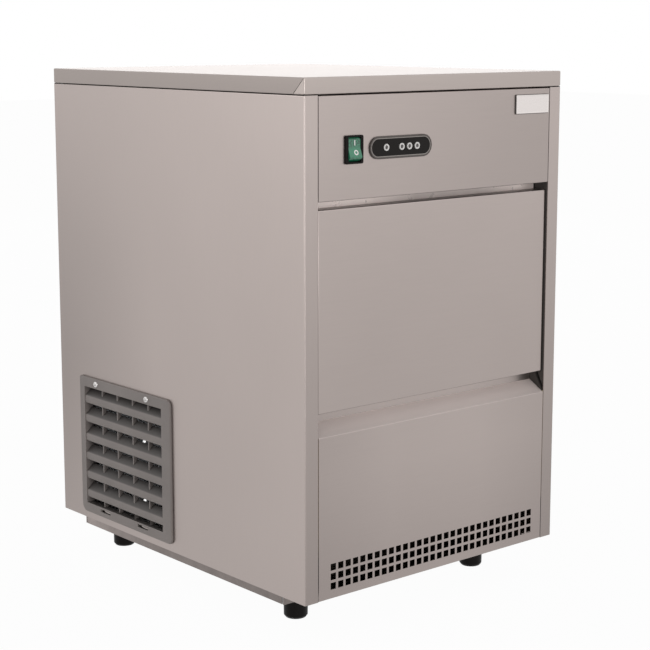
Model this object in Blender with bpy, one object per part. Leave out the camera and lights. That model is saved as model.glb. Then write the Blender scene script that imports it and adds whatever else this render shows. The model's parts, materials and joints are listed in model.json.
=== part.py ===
"""Ice machine: a steel cabinet with a door that retracts over the ice bin, and the ice maker inside it.

All sizes are in metres. Sizes are measured in the cabinet's own datum: x from the outside of the left side
panel, y backwards from the front plane, z up from the lower edge of the side panels. The cabinet is then
placed so that the origin lies on the floor, at the middle of the whole machine.
"""

import math

import bmesh
import bpy
from mathutils import Matrix, Vector

# Cabinet
WIDTH = 0.402
DEPTH = 0.499
HEIGHT = 0.579
SHEET = 0.001
GAP = 0.0003
FOLD_RADIUS = 0.0014
POST_WIDTH = 0.0187
PANEL_MARGIN = 0.001
SIDE_FLANGE = 0.014
REAR_RETURN = 0.015
LID_SKIRT = 0.0184
LID_HEM = 0.010
LID_TOP_GAP = 0.0014
MITRE_SLIT = 0.0006
LID_SEAT = 0.0008

# Base and feet
BASE_INSET = 0.012
BASE_FRONT = 0.052
BASE_REAR_SPACE = 0.033
BASE_SKIRT = 0.0152
BASE_CORNER_SLIT = 0.0015
FOOT_REACH = 0.0475
FOOT_RADIUS = 0.0147
FOOT_SIDE_INSET = 0.056
FOOT_FRONT_INSET = 0.0845
FOOT_REAR_INSET = 0.0565
FOOT_STUD_RADIUS = 0.004
FOOT_STUD_REACH = 0.004
STUD_CLEARANCE = 0.0003

# Front panels
CONTROL_BOTTOM = HEIGHT - 0.133
CONTROL_FLANGE = 0.012
LOWER_TOP = 0.1865
PANEL_FOOT_LAP = 0.006
FINGER_DEPTH = 0.0234
FINGER_RISE = 0.0128
LIP_TOP = 0.219
VENT_COLUMNS = 30
VENT_ROWS = 3
VENT_SIZE = 0.0078
VENT_PITCH = 0.01104
VENT_FIRST_ROW = 0.0146

# Switch and indicator panel
SWITCH_X = 0.0690
SWITCH_Z = HEIGHT - 0.07865
SWITCH_WIDTH = 0.0257
SWITCH_HEIGHT = 0.0311
SWITCH_BODY_WIDTH = 0.0218
SWITCH_BODY_HEIGHT = 0.0288
SWITCH_BODY_DEPTH = 0.024
SWITCH_RIM = 0.0022
SWITCH_CORNER = 0.0018
ROCKER_WIDTH = 0.0174
ROCKER_RADIUS = 0.0132
ROCKER_PIVOT = 0.005
ROCKER_TILT = math.radians(10)
ROCKER_HOLLOW = 0.0016
INDICATOR_X = 0.1387
INDICATOR_Z = HEIGHT - 0.0785
INDICATOR_WIDTH = 0.094
INDICATOR_HEIGHT = 0.025
INDICATOR_PROUD = 0.0020
INDICATOR_RIM = 0.0016
INDICATOR_BODY_DEPTH = 0.012
LAMP_OFFSETS = (-0.0223, 0.0009, 0.0125, 0.0242)
LAMP_RADIUS = 0.004
LAMP_BORE = 0.0022
GUIDE_DEPTH = 0.0034

# Bin door
DOOR_RECESS = 0.0025
DOOR_THICKNESS = 0.0185
DOOR_BOTTOM = 0.213
DOOR_TOP = 0.437
DOOR_LIP = 0.011
DOOR_SIDE_GAP = 0.0018
PIN_RADIUS = 0.0019
GROOVE_CLEARANCE = 0.0003
PIN_Y = 0.01125
PIN_Z = 0.225
PIN_SPACING = 0.200
DOOR_TRAVEL = 0.200
DOOR_TILT_RATE = 7.0
PIN_HEAD_RADIUS = 0.004
PIN_HEAD = 0.002

# Guide linings
LINING_BOTTOM = 0.188
LINING_TOP = HEIGHT - 0.079
LINING_REAR = 0.244
LINING_WALL = 0.003
GROOVE_DEPTH = 0.006
PIN_END_GAP = 0.0006
CHANNEL_WALL = 0.003

# Bin, chamber and insulation
LINER_WALL = 0.0025
BIN_FRONT_GAP = 0.0006
BIN_FLOOR = 0.072
BIN_REAR = 0.232
BIN_RIM = 0.250
STEP_Z = 0.198
STEP_Y = 0.248
CHAMBER_FRONT = 0.240
CHAMBER_TOP = HEIGHT - 0.031
ROOF_THICKNESS = 0.008
LINER_CORNER = 0.012
FOAM_FLOOR = 0.020
FOAM_STEP = 0.014
FOAM_REAR = 0.0137
RISER_SPACE = 0.0127

# Ice maker
FINGER_COLUMNS = 8
FINGER_ROWS = 3
FINGER_PITCH = 0.034
FINGER_RADIUS = 0.006
FINGER_LENGTH = 0.052
EVAPORATOR_REAR_SPACE = 0.111
EVAPORATOR_TOP_SPACE = 0.052
EVAPORATOR_PLATE = 0.004
EVAPORATOR_MARGIN = 0.016
EVAPORATOR_RUN_SPACE = 0.028
TRAY_MARGIN = 0.013
TRAY_WALL = 0.0025
TRAY_DIP = 0.022
TRAY_CLEARANCE = 0.016
PIVOT_RADIUS = 0.004
PIVOT_CLEARANCE = 0.0003
PIVOT_BACK = 0.0095
PIVOT_DROP = 0.004
MOTOR_WIDTH = 0.026
CHUTE_REAR_Z = 0.322
CHUTE_FRONT_Z = 0.238
CHUTE_FRONT = 0.252
CHUTE_THICKNESS = 0.003
CHUTE_SLATS = 15
CHUTE_SLOT = 0.014
TROUGH_TOP = 0.232
TROUGH_FRONT = 0.262
TROUGH_WALL = 0.0025
FLAP_Y = 0.262
FLAP_Z = 0.400
FLAP_WIDTH = 0.064
FLAP_LENGTH = 0.095
GUARD_FRONT_GAP = 0.016
TUBE_PASS = 0.042
PUMP_X = WIDTH - 0.050
PUMP_Y = DEPTH - 0.063
FILL_Z = 0.262
FLAP_PIN_RADIUS = 0.002
TRAY_SHELF_DROP = 0.003
CONTROL_BOX_X = 0.215
CONTROL_BOX_Y = 0.070

# Cooling unit
CONDENSER_X = 0.014
CONDENSER_DEPTH = 0.040
CONDENSER_LENGTH = 0.190
CONDENSER_FRONT = DEPTH - 0.047 - CONDENSER_LENGTH
CONDENSER_HEIGHT = 0.178
FIN_PITCH = 0.0083
FIN_THICKNESS = 0.0014
FAN_RADIUS = 0.070
FAN_TIP_GAP = 0.004
FAN_Z = 0.092
FAN_BLADES = 5
SHROUD_DEPTH = 0.018
FAN_MOTOR_X = 0.092
FAN_MOTOR_LENGTH = 0.040
FAN_MOTOR_RADIUS = 0.034
COMPRESSOR_X = WIDTH - 0.094
COMPRESSOR_Y = DEPTH - 0.104
COMPRESSOR_RADIUS = 0.054
COMPRESSOR_HEIGHT = 0.135
MOUNT_HEIGHT = 0.014
TUBE_RADIUS = 0.004
CAPILLARY_RADIUS = 0.0025
SUCTION_X = 0.262
LIQUID_X = 0.235
DISCHARGE_X = 0.240
DRIER_X = 0.180
DRIER_Y = DEPTH - 0.059
REAR_RUN = DEPTH - 0.025
DISCHARGE_LOW_Z = 0.060
DISCHARGE_RUN_Z = 0.130
HEADER_TOP_Z = 0.162
HEADER_LOW_Z = 0.045
SUCTION_LOW_Z = 0.095
CAPILLARY_RUN_Z = 0.175
TUBE_BEND = 0.0095
CAPILLARY_BEND = 0.008
DRIER_LOW_Z = 0.058
DRIER_LENGTH = 0.090

# Air grille
GRILLE_LENGTH = 0.200
GRILLE_REAR = DEPTH - 0.0495
GRILLE_FRONT = GRILLE_REAR - GRILLE_LENGTH
GRILLE_BOTTOM = 0.0092
GRILLE_TOP = 0.1890
GRILLE_PROUD = 0.0035
GRILLE_BORDER = 0.0128
GRILLE_BORDER_FRONT = 0.0178
GRILLE_BORDER_REAR = 0.0118
GRILLE_FLANGE = 0.0067
GRILLE_FLANGE_FRONT = 0.0132
GRILLE_CORNERS = (0.007, 0.010, 0.003, 0.008)
GRILLE_DEPTH = 0.008
SLATS = 6
SLAT_PITCH = 0.025
SLAT_FACE = 0.012
SLAT_RISE = 0.007
SLAT_DROP = 0.0019
RIBS = 4
RIB = 0.002
CLIP_LENGTH = 0.022
CLIP_HEIGHT = 0.0036
CLIP_RISE = 0.0085
CLIP_REAR_Y = GRILLE_REAR - 0.055
CLIP_FRONT_Y = GRILLE_FRONT + 0.0615

# Rear fittings
REAR_REACH = 0.018
VALVE_X = WIDTH - 0.072
VALVE_Z = 0.150
DRAIN_X = WIDTH / 2
DRAIN_Y = 0.200
DRAIN_Z = 0.020
DRAIN_RADIUS = 0.008
GLAND_X = 0.090
GLAND_Z = 0.060
FITTING_CLEARANCE = 0.0005
INLET_RADIUS = 0.013
INLET_ROOT = 0.0087
REAR_SLOTS = 8
REAR_SLOT_PITCH = 0.0115
REAR_SLOT_WIDTH = 0.0045

# Places that follow from the sizes above
SIDE_TOP = HEIGHT - LID_SKIRT - LID_SEAT
PANEL_LEFT = POST_WIDTH + PANEL_MARGIN
PANEL_RIGHT = WIDTH - PANEL_LEFT
LINING_FACE = PANEL_LEFT - GAP
DOOR_LEFT = LINING_FACE + DOOR_SIDE_GAP
DOOR_RIGHT = WIDTH - DOOR_LEFT
DOOR_BACK = DOOR_RECESS + DOOR_THICKNESS
REAR_PANEL_Y = DEPTH - 2 * SHEET - GAP
FOAM_REAR_Y = REAR_PANEL_Y - RISER_SPACE
LINER_REAR_Y = FOAM_REAR_Y - FOAM_REAR
RISER_Y = REAR_PANEL_Y - RISER_SPACE / 2
LINER_LEFT = PANEL_LEFT
LINER_RIGHT = WIDTH - LINER_LEFT
BIN_FRONT = FINGER_DEPTH + SHEET / 2 + BIN_FRONT_GAP
FOAM_BOTTOM = BIN_FLOOR - FOAM_FLOOR
FOAM_STEP_Z = STEP_Z - FOAM_STEP
BASE_TOP = -GAP
EVAPORATOR_Y = LINER_REAR_Y - EVAPORATOR_REAR_SPACE
PLATE_TOP = CHAMBER_TOP - EVAPORATOR_TOP_SPACE
PLATE_BOTTOM = PLATE_TOP - EVAPORATOR_PLATE
FINGER_TIP = PLATE_BOTTOM - FINGER_LENGTH
FINGER_REACH_X = (FINGER_COLUMNS - 1) / 2 * FINGER_PITCH + FINGER_RADIUS
FINGER_REACH_Y = (FINGER_ROWS - 1) / 2 * FINGER_PITCH + FINGER_RADIUS
TRAY_LEFT = WIDTH / 2 - FINGER_REACH_X - TRAY_MARGIN
TRAY_RIGHT = WIDTH - TRAY_LEFT
TRAY_FRONT = EVAPORATOR_Y - FINGER_REACH_Y - TRAY_MARGIN
TRAY_REAR = EVAPORATOR_Y + FINGER_REACH_Y + TRAY_MARGIN
TRAY_RIM = FINGER_TIP + TRAY_DIP
TRAY_FLOOR = FINGER_TIP - TRAY_CLEARANCE
TRAY_PIVOT_Y = TRAY_REAR + TRAY_WALL + PIVOT_BACK
TRAY_PIVOT_Z = TRAY_RIM - PIVOT_DROP
FAN_Y = CONDENSER_FRONT + CONDENSER_LENGTH / 2
CONDENSER_REAR = CONDENSER_FRONT + CONDENSER_LENGTH
SHROUD_X = CONDENSER_X + CONDENSER_DEPTH + GAP
EVAPORATOR_TUBE_Z = PLATE_TOP + GAP + TUBE_RADIUS
TUBE_HOLE_RADIUS = TUBE_RADIUS + 0.0015

ROCKER_REACH = ROCKER_RADIUS * math.cos(math.radians(50) - ROCKER_TILT) - ROCKER_PIVOT

# Where the cabinet's datum lies in the machine's frame: the grille, the rocker and the inlet reach past it
DATUM = Vector((-(WIDTH - GRILLE_PROUD) / 2, -(DEPTH + REAR_REACH - ROCKER_REACH) / 2, FOOT_REACH))

# Finishes: colour, roughness, metallic
STEEL = ((0.44, 0.40, 0.39), 0.34, 0.9)
PALE_STEEL = ((0.72, 0.70, 0.69), 0.3, 0.9)
GALVANISED = ((0.45, 0.46, 0.46), 0.45, 0.8)
BRIGHT_STEEL = ((0.62, 0.61, 0.60), 0.25, 1.0)
GRILLE_GREY = ((0.19, 0.17, 0.165), 0.55, 0.0)
LINING_GREY = ((0.06, 0.06, 0.062), 0.5, 0.0)
BLACK_PLASTIC = ((0.012, 0.012, 0.012), 0.45, 0.0)
BLACK_RUBBER = ((0.01, 0.01, 0.01), 0.8, 0.0)
GREEN_LENS = ((0.03, 0.27, 0.16), 0.25, 0.0)
DARK_PANEL = ((0.02, 0.017, 0.015), 0.3, 0.0)
WHITE_PLASTIC = ((0.78, 0.79, 0.78), 0.4, 0.0)
CLEAR_GREY = ((0.6, 0.62, 0.64), 0.35, 0.0)
FOAM = ((0.72, 0.62, 0.42), 0.9, 0.0)
COPPER = ((0.62, 0.28, 0.15), 0.3, 1.0)
TINNED_COPPER = ((0.66, 0.64, 0.60), 0.28, 1.0)
BRASS = ((0.60, 0.46, 0.20), 0.32, 1.0)
ALUMINIUM = ((0.66, 0.67, 0.68), 0.4, 1.0)
BLACK_PAINT = ((0.015, 0.015, 0.016), 0.4, 0.1)


def clear_scene():
    for item in list(bpy.data.objects):
        bpy.data.objects.remove(item, do_unlink=True)


def add_object(name, mesh):
    """Turn a bmesh into a named object whose faces point outwards."""
    bmesh.ops.recalc_face_normals(mesh, faces=mesh.faces)
    data = bpy.data.meshes.new(name)
    mesh.to_mesh(data)
    mesh.free()
    item = bpy.data.objects.new(name, data)
    bpy.context.scene.collection.objects.link(item)
    return item


def rounded(points, radius, steps=3, closed=True):
    """Points of a path whose corners are arcs of the given radius, or of one radius for each corner."""
    out = []
    count = len(points)
    for index, corner in enumerate(points):
        corner = Vector(corner)
        size = radius[index] if isinstance(radius, (list, tuple)) else radius
        if size <= 0 or (not closed and index in (0, count - 1)):
            out.append(corner)
            continue
        back = Vector(points[index - 1]) - corner
        ahead = Vector(points[(index + 1) % count]) - corner
        half = back.angle(ahead) / 2
        if half > math.radians(89):
            out.append(corner)
            continue
        reach = min(size / math.tan(half), 0.49 * back.length, 0.49 * ahead.length)
        centre = corner + (back.normalized() + ahead.normalized()).normalized() * (reach / math.cos(half))
        start = corner + back.normalized() * reach - centre
        end = corner + ahead.normalized() * reach - centre
        turn = start.angle(end)
        for step in range(steps + 1):
            share = step / steps
            first = math.sin((1 - share) * turn) / math.sin(turn)
            second = math.sin(share * turn) / math.sin(turn)
            out.append(centre + start * first + end * second)
    return out


def strip(path, thickness):
    """Outline of a folded sheet or a groove: its middle line moved half the thickness to both sides."""
    left = []
    right = []
    for index, point in enumerate(path):
        point = Vector(point)
        ahead = Vector(path[min(index + 1, len(path) - 1)]) - point
        back = point - Vector(path[max(index - 1, 0)])
        ahead = ahead if ahead.length > 0 else back
        back = back if back.length > 0 else ahead
        first = Vector((-back.y, back.x)).normalized()
        second = Vector((-ahead.y, ahead.x)).normalized()
        side = (first + second) / (1 + first.dot(second)) * thickness / 2
        left.append(point + side)
        right.append(point - side)
    return left + right[::-1]


def spot(axis, along, u, v):
    return {"X": (along, u, v), "Y": (u, along, v), "Z": (u, v, along)}[axis]


def prism(name, outline, axis, low, high):
    """Solid with one outline along an axis. The outline lies in the other two axes, in their order."""
    mesh = bmesh.new()
    face = mesh.faces.new([mesh.verts.new(spot(axis, low, point[0], point[1])) for point in outline])
    made = bmesh.ops.extrude_face_region(mesh, geom=[face])["geom"]
    moved = [item for item in made if isinstance(item, bmesh.types.BMVert)]
    bmesh.ops.translate(mesh, verts=moved, vec=Vector(spot(axis, high - low, 0.0, 0.0)))
    return add_object(name, mesh)


def rectangle(left, bottom, right, top):
    return [(left, bottom), (right, bottom), (right, top), (left, top)]


def soften_face(item, axis, level, radius):
    """Round the edges of an object's outer face: those whose two ends lie below a level along an axis."""
    mesh = bmesh.new()
    mesh.from_mesh(item.data)
    outer = [line for line in mesh.edges if all(vert.co[axis] < level for vert in line.verts)]
    bmesh.ops.bevel(mesh, geom=outer, offset=radius, segments=2, profile=0.5, affect="EDGES")
    mesh.to_mesh(item.data)
    mesh.free()


def box(name, low, high, bevel=0.0, segments=1):
    item = prism(name, rectangle(low[1], low[2], high[1], high[2]), "X", low[0], high[0])
    if bevel:
        mesh = bmesh.new()
        mesh.from_mesh(item.data)
        bmesh.ops.bevel(mesh, geom=mesh.edges[:], offset=bevel, segments=segments, profile=0.5, affect="EDGES")
        mesh.to_mesh(item.data)
        mesh.free()
    return item


def boxes(name, pairs):
    """Several separate boxes in one object, each from its low and its high corner."""
    parts = [box(f"{name}_{index}", low, high) for index, (low, high) in enumerate(pairs)]
    return join(name, parts)


def join(name, parts):
    """One object that holds the meshes of several, which stay separate solids."""
    mesh = bmesh.new()
    for part in parts:
        mesh.from_mesh(part.data)
        bpy.data.objects.remove(part, do_unlink=True)
    return add_object(name, mesh)


def loft(name, loops, closed=False):
    """Skin over loops of equal count: capped at both ends, or joined end to end."""
    mesh = bmesh.new()
    rings = [[mesh.verts.new(point) for point in loop] for loop in loops]
    count = len(rings[0])
    last = len(rings) if closed else len(rings) - 1
    for index in range(last):
        ring = rings[index]
        following = rings[(index + 1) % len(rings)]
        for corner in range(count):
            after = (corner + 1) % count
            mesh.faces.new((ring[corner], ring[after], following[after], following[corner]))
    if not closed:
        mesh.faces.new(rings[0])
        mesh.faces.new(rings[-1])
    return add_object(name, mesh)


def lathe(name, profile, axis, centre, steps=24):
    """Turned solid. The profile is a closed outline of radius and place along the axis; radius 0 is the axis."""
    mesh = bmesh.new()
    rings = []
    for radius, along in profile:
        ring = []
        for step in range(steps if radius > 0 else 1):
            angle = 2 * math.pi * (step + 0.5) / steps
            offset = spot(axis, along, radius * math.cos(angle), radius * math.sin(angle))
            ring.append(mesh.verts.new(Vector(centre) + Vector(offset)))
        rings.append(ring)
    for index, ring in enumerate(rings):
        following = rings[(index + 1) % len(rings)]
        if len(ring) == 1 and len(following) == 1:
            continue
        for step in range(steps):
            after = (step + 1) % steps
            corners = [ring[step % len(ring)], ring[after % len(ring)]]
            corners += [following[after % len(following)], following[step % len(following)]]
            mesh.faces.new(list(dict.fromkeys(corners)))
    item = add_object(name, mesh)
    item.data.shade_smooth()
    item.data.set_sharp_from_angle(angle=math.radians(35))
    return item


def rod(name, axis, start, end, radius, steps=16):
    """Plain round bar between two points that differ along one axis only."""
    length = (Vector(end) - Vector(start)).dot(Vector(spot(axis, 1.0, 0.0, 0.0)))
    return lathe(name, [(0, 0), (radius, 0), (radius, length), (0, length)], axis, start, steps)


def tube(name, points, radius, bend, sides=2, steps=3):
    """Bent tube: straight runs joined by arcs, as a curve with a round bevel and filled ends."""
    curve = bpy.data.curves.new(name, "CURVE")
    curve.dimensions = "3D"
    curve.bevel_depth = radius
    curve.bevel_resolution = sides
    curve.use_fill_caps = True
    path = rounded(points, bend, steps, closed=False)
    spline = curve.splines.new("POLY")
    spline.points.add(len(path) - 1)
    for point, place in zip(spline.points, path):
        point.co = (*place, 1.0)
    item = bpy.data.objects.new(name, curve)
    bpy.context.scene.collection.objects.link(item)
    return item


def boolean(body, tool, operation):
    """Cut, join or intersect a body with a tool, and drop the tool."""
    modifier = body.modifiers.new("boolean", "BOOLEAN")
    modifier.operation = operation
    modifier.solver = "EXACT"
    modifier.object = tool
    shaped = body.evaluated_get(bpy.context.evaluated_depsgraph_get())
    data = bpy.data.meshes.new_from_object(shaped)
    body.modifiers.clear()
    body.data = data
    bpy.data.objects.remove(tool, do_unlink=True)
    return body


def cut(body, *tools):
    for tool in tools:
        boolean(body, tool, "DIFFERENCE")
    return body


def unite(body, *tools):
    for tool in tools:
        boolean(body, tool, "UNION")
    return body


def finish(item, look, frame):
    """Give a piece its own material and hang it on a frame, with its origin at the frame's place."""
    colour, roughness, metallic = look
    material = bpy.data.materials.new(f"{item.name}_finish")
    material.use_nodes = True
    shader = material.node_tree.nodes["Principled BSDF"]
    shader.inputs["Base Color"].default_value = (*colour, 1.0)
    shader.inputs["Roughness"].default_value = roughness
    shader.inputs["Metallic"].default_value = metallic
    item.data.materials.clear()
    item.data.materials.append(material)
    item.data.transform(Matrix.Translation(-Vector(frame["pivot"])))
    item.parent = frame
    return item


def make_frame(name, pivot, parent=None):
    """Empty on a joint axis. It remembers its place in the cabinet's datum."""
    frame = bpy.data.objects.new(name, None)
    frame["pivot"] = tuple(pivot)
    frame.empty_display_size = 0.02
    frame.parent = parent
    frame.location = Vector(pivot) - Vector(parent["pivot"]) if parent else DATUM
    bpy.context.scene.collection.objects.link(frame)
    return frame


def folded_shell(name, faces, folds, thickness, radius=FOLD_RADIUS):
    """Sheet-metal piece: flat faces that share edges, folded with a radius, thickened inwards."""
    mesh = bmesh.new()
    corners = {}
    for face in faces:
        ring = []
        for point in face:
            key = tuple(round(value, 6) for value in point)
            if key not in corners:
                corners[key] = mesh.verts.new(point)
            ring.append(corners[key])
        mesh.faces.new(ring)
    bmesh.ops.recalc_face_normals(mesh, faces=mesh.faces)
    folded = [edge for edge in mesh.edges if len(edge.link_faces) == 2]
    bmesh.ops.bevel(mesh, geom=folded, offset=radius, segments=folds, profile=0.5, affect="EDGES")
    data = bpy.data.meshes.new(name)
    mesh.to_mesh(data)
    mesh.free()
    item = bpy.data.objects.new(name, data)
    bpy.context.scene.collection.objects.link(item)
    wall = item.modifiers.new("sheet", "SOLIDIFY")
    wall.thickness = thickness
    wall.offset = -1.0
    wall.use_even_offset = True
    shaped = item.evaluated_get(bpy.context.evaluated_depsgraph_get())
    solid = bpy.data.meshes.new_from_object(shaped)
    item.modifiers.clear()
    item.data = solid
    return item


def mirrored_x(item, name):
    """Copy of a piece on the other side of the cabinet's middle plane."""
    data = item.data.copy()
    data.transform(Matrix.Translation((WIDTH, 0, 0)) @ Matrix.Scale(-1, 4, (1, 0, 0)))
    data.flip_normals()
    copy = bpy.data.objects.new(name, data)
    bpy.context.scene.collection.objects.link(copy)
    return copy


def side_panel(name):
    """Left side sheet: the side, the front post, the rear return and the two flanges, in one piece."""
    top = SIDE_TOP
    inner = 3 * SHEET
    front = FINGER_DEPTH
    side = [(0, 0, 0), (0, DEPTH, 0), (0, DEPTH, top), (0, 0, top)]
    post = [(0, 0, 0), (0, 0, top), (POST_WIDTH, 0, top), (POST_WIDTH, 0, 0)]
    rear = [(0, DEPTH, top), (0, DEPTH, 0), (REAR_RETURN, DEPTH, 0), (REAR_RETURN, DEPTH, top)]
    item = folded_shell(name, [side, post, rear], 3, SHEET)
    low_flange = box("low_flange", (SHEET / 2, front, 0), (SIDE_FLANGE * 2, DEPTH - inner - SHEET, SHEET))
    high_flange = box("high_flange", (SHEET / 2, inner, top - SHEET), (SIDE_FLANGE, DEPTH - inner - SHEET, top))
    unite(item, low_flange, high_flange)
    arc = [math.radians(90 + 30 * step) for step in range(4)]
    fold = [(SHEET + SHEET * math.cos(angle), top - SHEET + SHEET * math.sin(angle)) for angle in arc]
    fold += [(-SHEET, top - SHEET), (-SHEET, top + SHEET), (SHEET, top + SHEET)]
    return cut(item, prism("fold", fold, "Y", -SHEET, DEPTH + SHEET))


def grille_opening():
    """Hole in the left side panel for the grille's sleeve."""
    inset = GRILLE_FLANGE
    front = GRILLE_FRONT + GRILLE_FLANGE_FRONT
    outline = rectangle(front, GRILLE_BOTTOM + inset, GRILLE_REAR - inset, GRILLE_TOP - inset)
    return prism("opening", outline, "X", -0.01, 0.01)


def make_side_panels(cabinet):
    left = side_panel("left_side_panel")
    right = mirrored_x(left, "right_side_panel")
    cut(left, grille_opening())
    finish(left, STEEL, cabinet)
    finish(right, STEEL, cabinet)


def make_top_cover(cabinet):
    """Folded lid: a flat top, a skirt with welded corners and a hem, with a mitre line at the front corners."""
    low = HEIGHT - LID_SKIRT
    outer = [(0, 0), (WIDTH, 0), (WIDTH, DEPTH), (0, DEPTH)]
    inner = [(LID_HEM, LID_HEM), (WIDTH - LID_HEM, LID_HEM)]
    inner += [(WIDTH - LID_HEM, DEPTH - LID_HEM), (LID_HEM, DEPTH - LID_HEM)]
    faces = [[(x, y, HEIGHT) for x, y in outer]]
    for index in range(4):
        after = (index + 1) % 4
        (x0, y0), (x1, y1) = outer[index], outer[after]
        (u0, v0), (u1, v1) = inner[index], inner[after]
        faces.append([(x0, y0, low), (x1, y1, low), (x1, y1, HEIGHT), (x0, y0, HEIGHT)])
        faces.append([(u0, v0, low), (u1, v1, low), (x1, y1, low), (x0, y0, low)])
    lid = folded_shell("top_cover", faces, 2, SHEET)
    for low_x, high_x in ((-SHEET, 1.5 * SHEET), (WIDTH - 1.5 * SHEET, WIDTH + SHEET)):
        line = [(FOLD_RADIUS, HEIGHT - FOLD_RADIUS), (LID_SKIRT, low + FOLD_RADIUS / 2)]
        cut(lid, prism("slit", strip(line, MITRE_SLIT), "X", low_x, high_x))
    finish(lid, PALE_STEEL, cabinet)


def make_rear_panel(cabinet):
    """Flat rear sheet inside the side panels' returns, with vent slots and holes for the fittings."""
    margin = 2 * SHEET
    front = REAR_PANEL_Y
    panel = box("rear_panel", (margin, front, SHEET), (WIDTH - margin, front + SHEET, SIDE_TOP - 3 * SHEET))
    slots = []
    for column in range(REAR_SLOTS):
        left = VALVE_X + (column - (REAR_SLOTS - 1) / 2) * REAR_SLOT_PITCH - REAR_SLOT_WIDTH * 0.72
        slots.append(((left, front - SHEET, 0.035), (left + REAR_SLOT_WIDTH, front + 2 * SHEET, 0.105)))
    cut(panel, boxes("slots", slots))
    for x, z, radius in (
        (VALVE_X, VALVE_Z, INLET_RADIUS + FITTING_CLEARANCE),
        (DRAIN_X, DRAIN_Z, DRAIN_RADIUS + 0.002 + FITTING_CLEARANCE),
        (GLAND_X, GLAND_Z, 0.008 + FITTING_CLEARANCE),
    ):
        cut(panel, rod("hole", "Y", (x, front - SHEET, z), (x, front + 2 * SHEET, z), radius, 20))
    finish(panel, GALVANISED, cabinet)


def make_control_panel(cabinet):
    """Upper front sheet with its two flanges, the switch's opening and the indicator panel's opening."""
    half = SHEET / 2
    top = HEIGHT - LID_SKIRT - LID_TOP_GAP - half
    bottom = CONTROL_BOTTOM + half
    path = [(CONTROL_FLANGE, top), (half, top), (half, bottom), (CONTROL_FLANGE, bottom)]
    path = rounded(path, FOLD_RADIUS - half, 3, closed=False)
    panel = prism("control_panel", strip(path, SHEET), "X", PANEL_LEFT, PANEL_RIGHT)
    wide = SWITCH_BODY_WIDTH / 2 + GAP
    tall = SWITCH_BODY_HEIGHT / 2 + GAP
    opening = box(
        "opening",
        (SWITCH_X - wide, -SHEET, SWITCH_Z - tall),
        (SWITCH_X + wide, 3 * SHEET, SWITCH_Z + tall),
    )
    cut(panel, opening)
    outline = stadium(INDICATOR_WIDTH - 0.006 + 2 * GAP, INDICATOR_HEIGHT - 0.006 + 2 * GAP)
    cut(panel, prism("window", outline, "Y", -SHEET, 3 * SHEET))
    finish(panel, STEEL, cabinet)


def stadium(width, height, steps=8):
    """Outline of the indicator panel: a bar with round ends, about the panel's centre."""
    radius = height / 2
    shift = width / 2 - radius
    points = []
    for side in (1, -1):
        for step in range(steps + 1):
            angle = math.pi * (step / steps - 0.5)
            x = INDICATOR_X + side * (shift + radius * math.cos(angle))
            points.append((x, INDICATOR_Z + side * radius * math.sin(angle)))
    return points


def make_indicator_panel(cabinet):
    """Oval bezel with a raised double rim and a sunk dark face, and its body behind the control panel."""
    loops = []
    profile = [
        (0.003, INDICATOR_BODY_DEPTH),
        (0.003, -GAP),
        (0.0, -GAP),
        (0.0, -INDICATOR_PROUD + 0.0005),
        (0.0005, -INDICATOR_PROUD),
        (INDICATOR_RIM, -INDICATOR_PROUD),
        (INDICATOR_RIM + 0.0004, -INDICATOR_PROUD + 0.0006),
    ]
    for inset, y in profile:
        outline = stadium(INDICATOR_WIDTH - 2 * inset, INDICATOR_HEIGHT - 2 * inset)
        loops.append([(x, y, z) for x, z in outline])
    panel = loft("indicator_panel", loops)
    face_y = -INDICATOR_PROUD + 0.0006
    seats = []
    lamps = []
    for offset in LAMP_OFFSETS:
        x = INDICATOR_X + offset
        seats.append(rod("seat", "Y", (x, -0.01, INDICATOR_Z), (x, GUIDE_DEPTH, INDICATOR_Z), LAMP_RADIUS + GAP, 16))
        root = GUIDE_DEPTH - face_y + SHEET
        profile = [
            (0, root), (LAMP_RADIUS, root), (LAMP_RADIUS, -0.0003),
            (LAMP_RADIUS - 0.0003, -0.0006), (LAMP_BORE + 0.0003, -0.0006), (LAMP_BORE, 0), (0, 0),
        ]
        lamps.append(lathe("lamp", profile, "Y", (x, face_y, INDICATOR_Z), 12))
    left = INDICATOR_X + LAMP_OFFSETS[0] - LAMP_RADIUS
    right = INDICATOR_X + LAMP_OFFSETS[-1] + LAMP_RADIUS
    low = INDICATOR_Z - LAMP_RADIUS
    high = INDICATOR_Z + LAMP_RADIUS
    back = INDICATOR_BODY_DEPTH + SHEET
    cut(panel, *seats)
    cut(panel, box("slot", (left - GAP, GUIDE_DEPTH - GAP, low - GAP), (right + GAP, back, high + GAP)))
    guide = box("indicator_lamps", (left, GUIDE_DEPTH, low), (right, GUIDE_DEPTH + 0.003, high))
    unite(guide, *lamps)
    finish(panel, DARK_PANEL, cabinet)
    finish(guide, CLEAR_GREY, cabinet)


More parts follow.
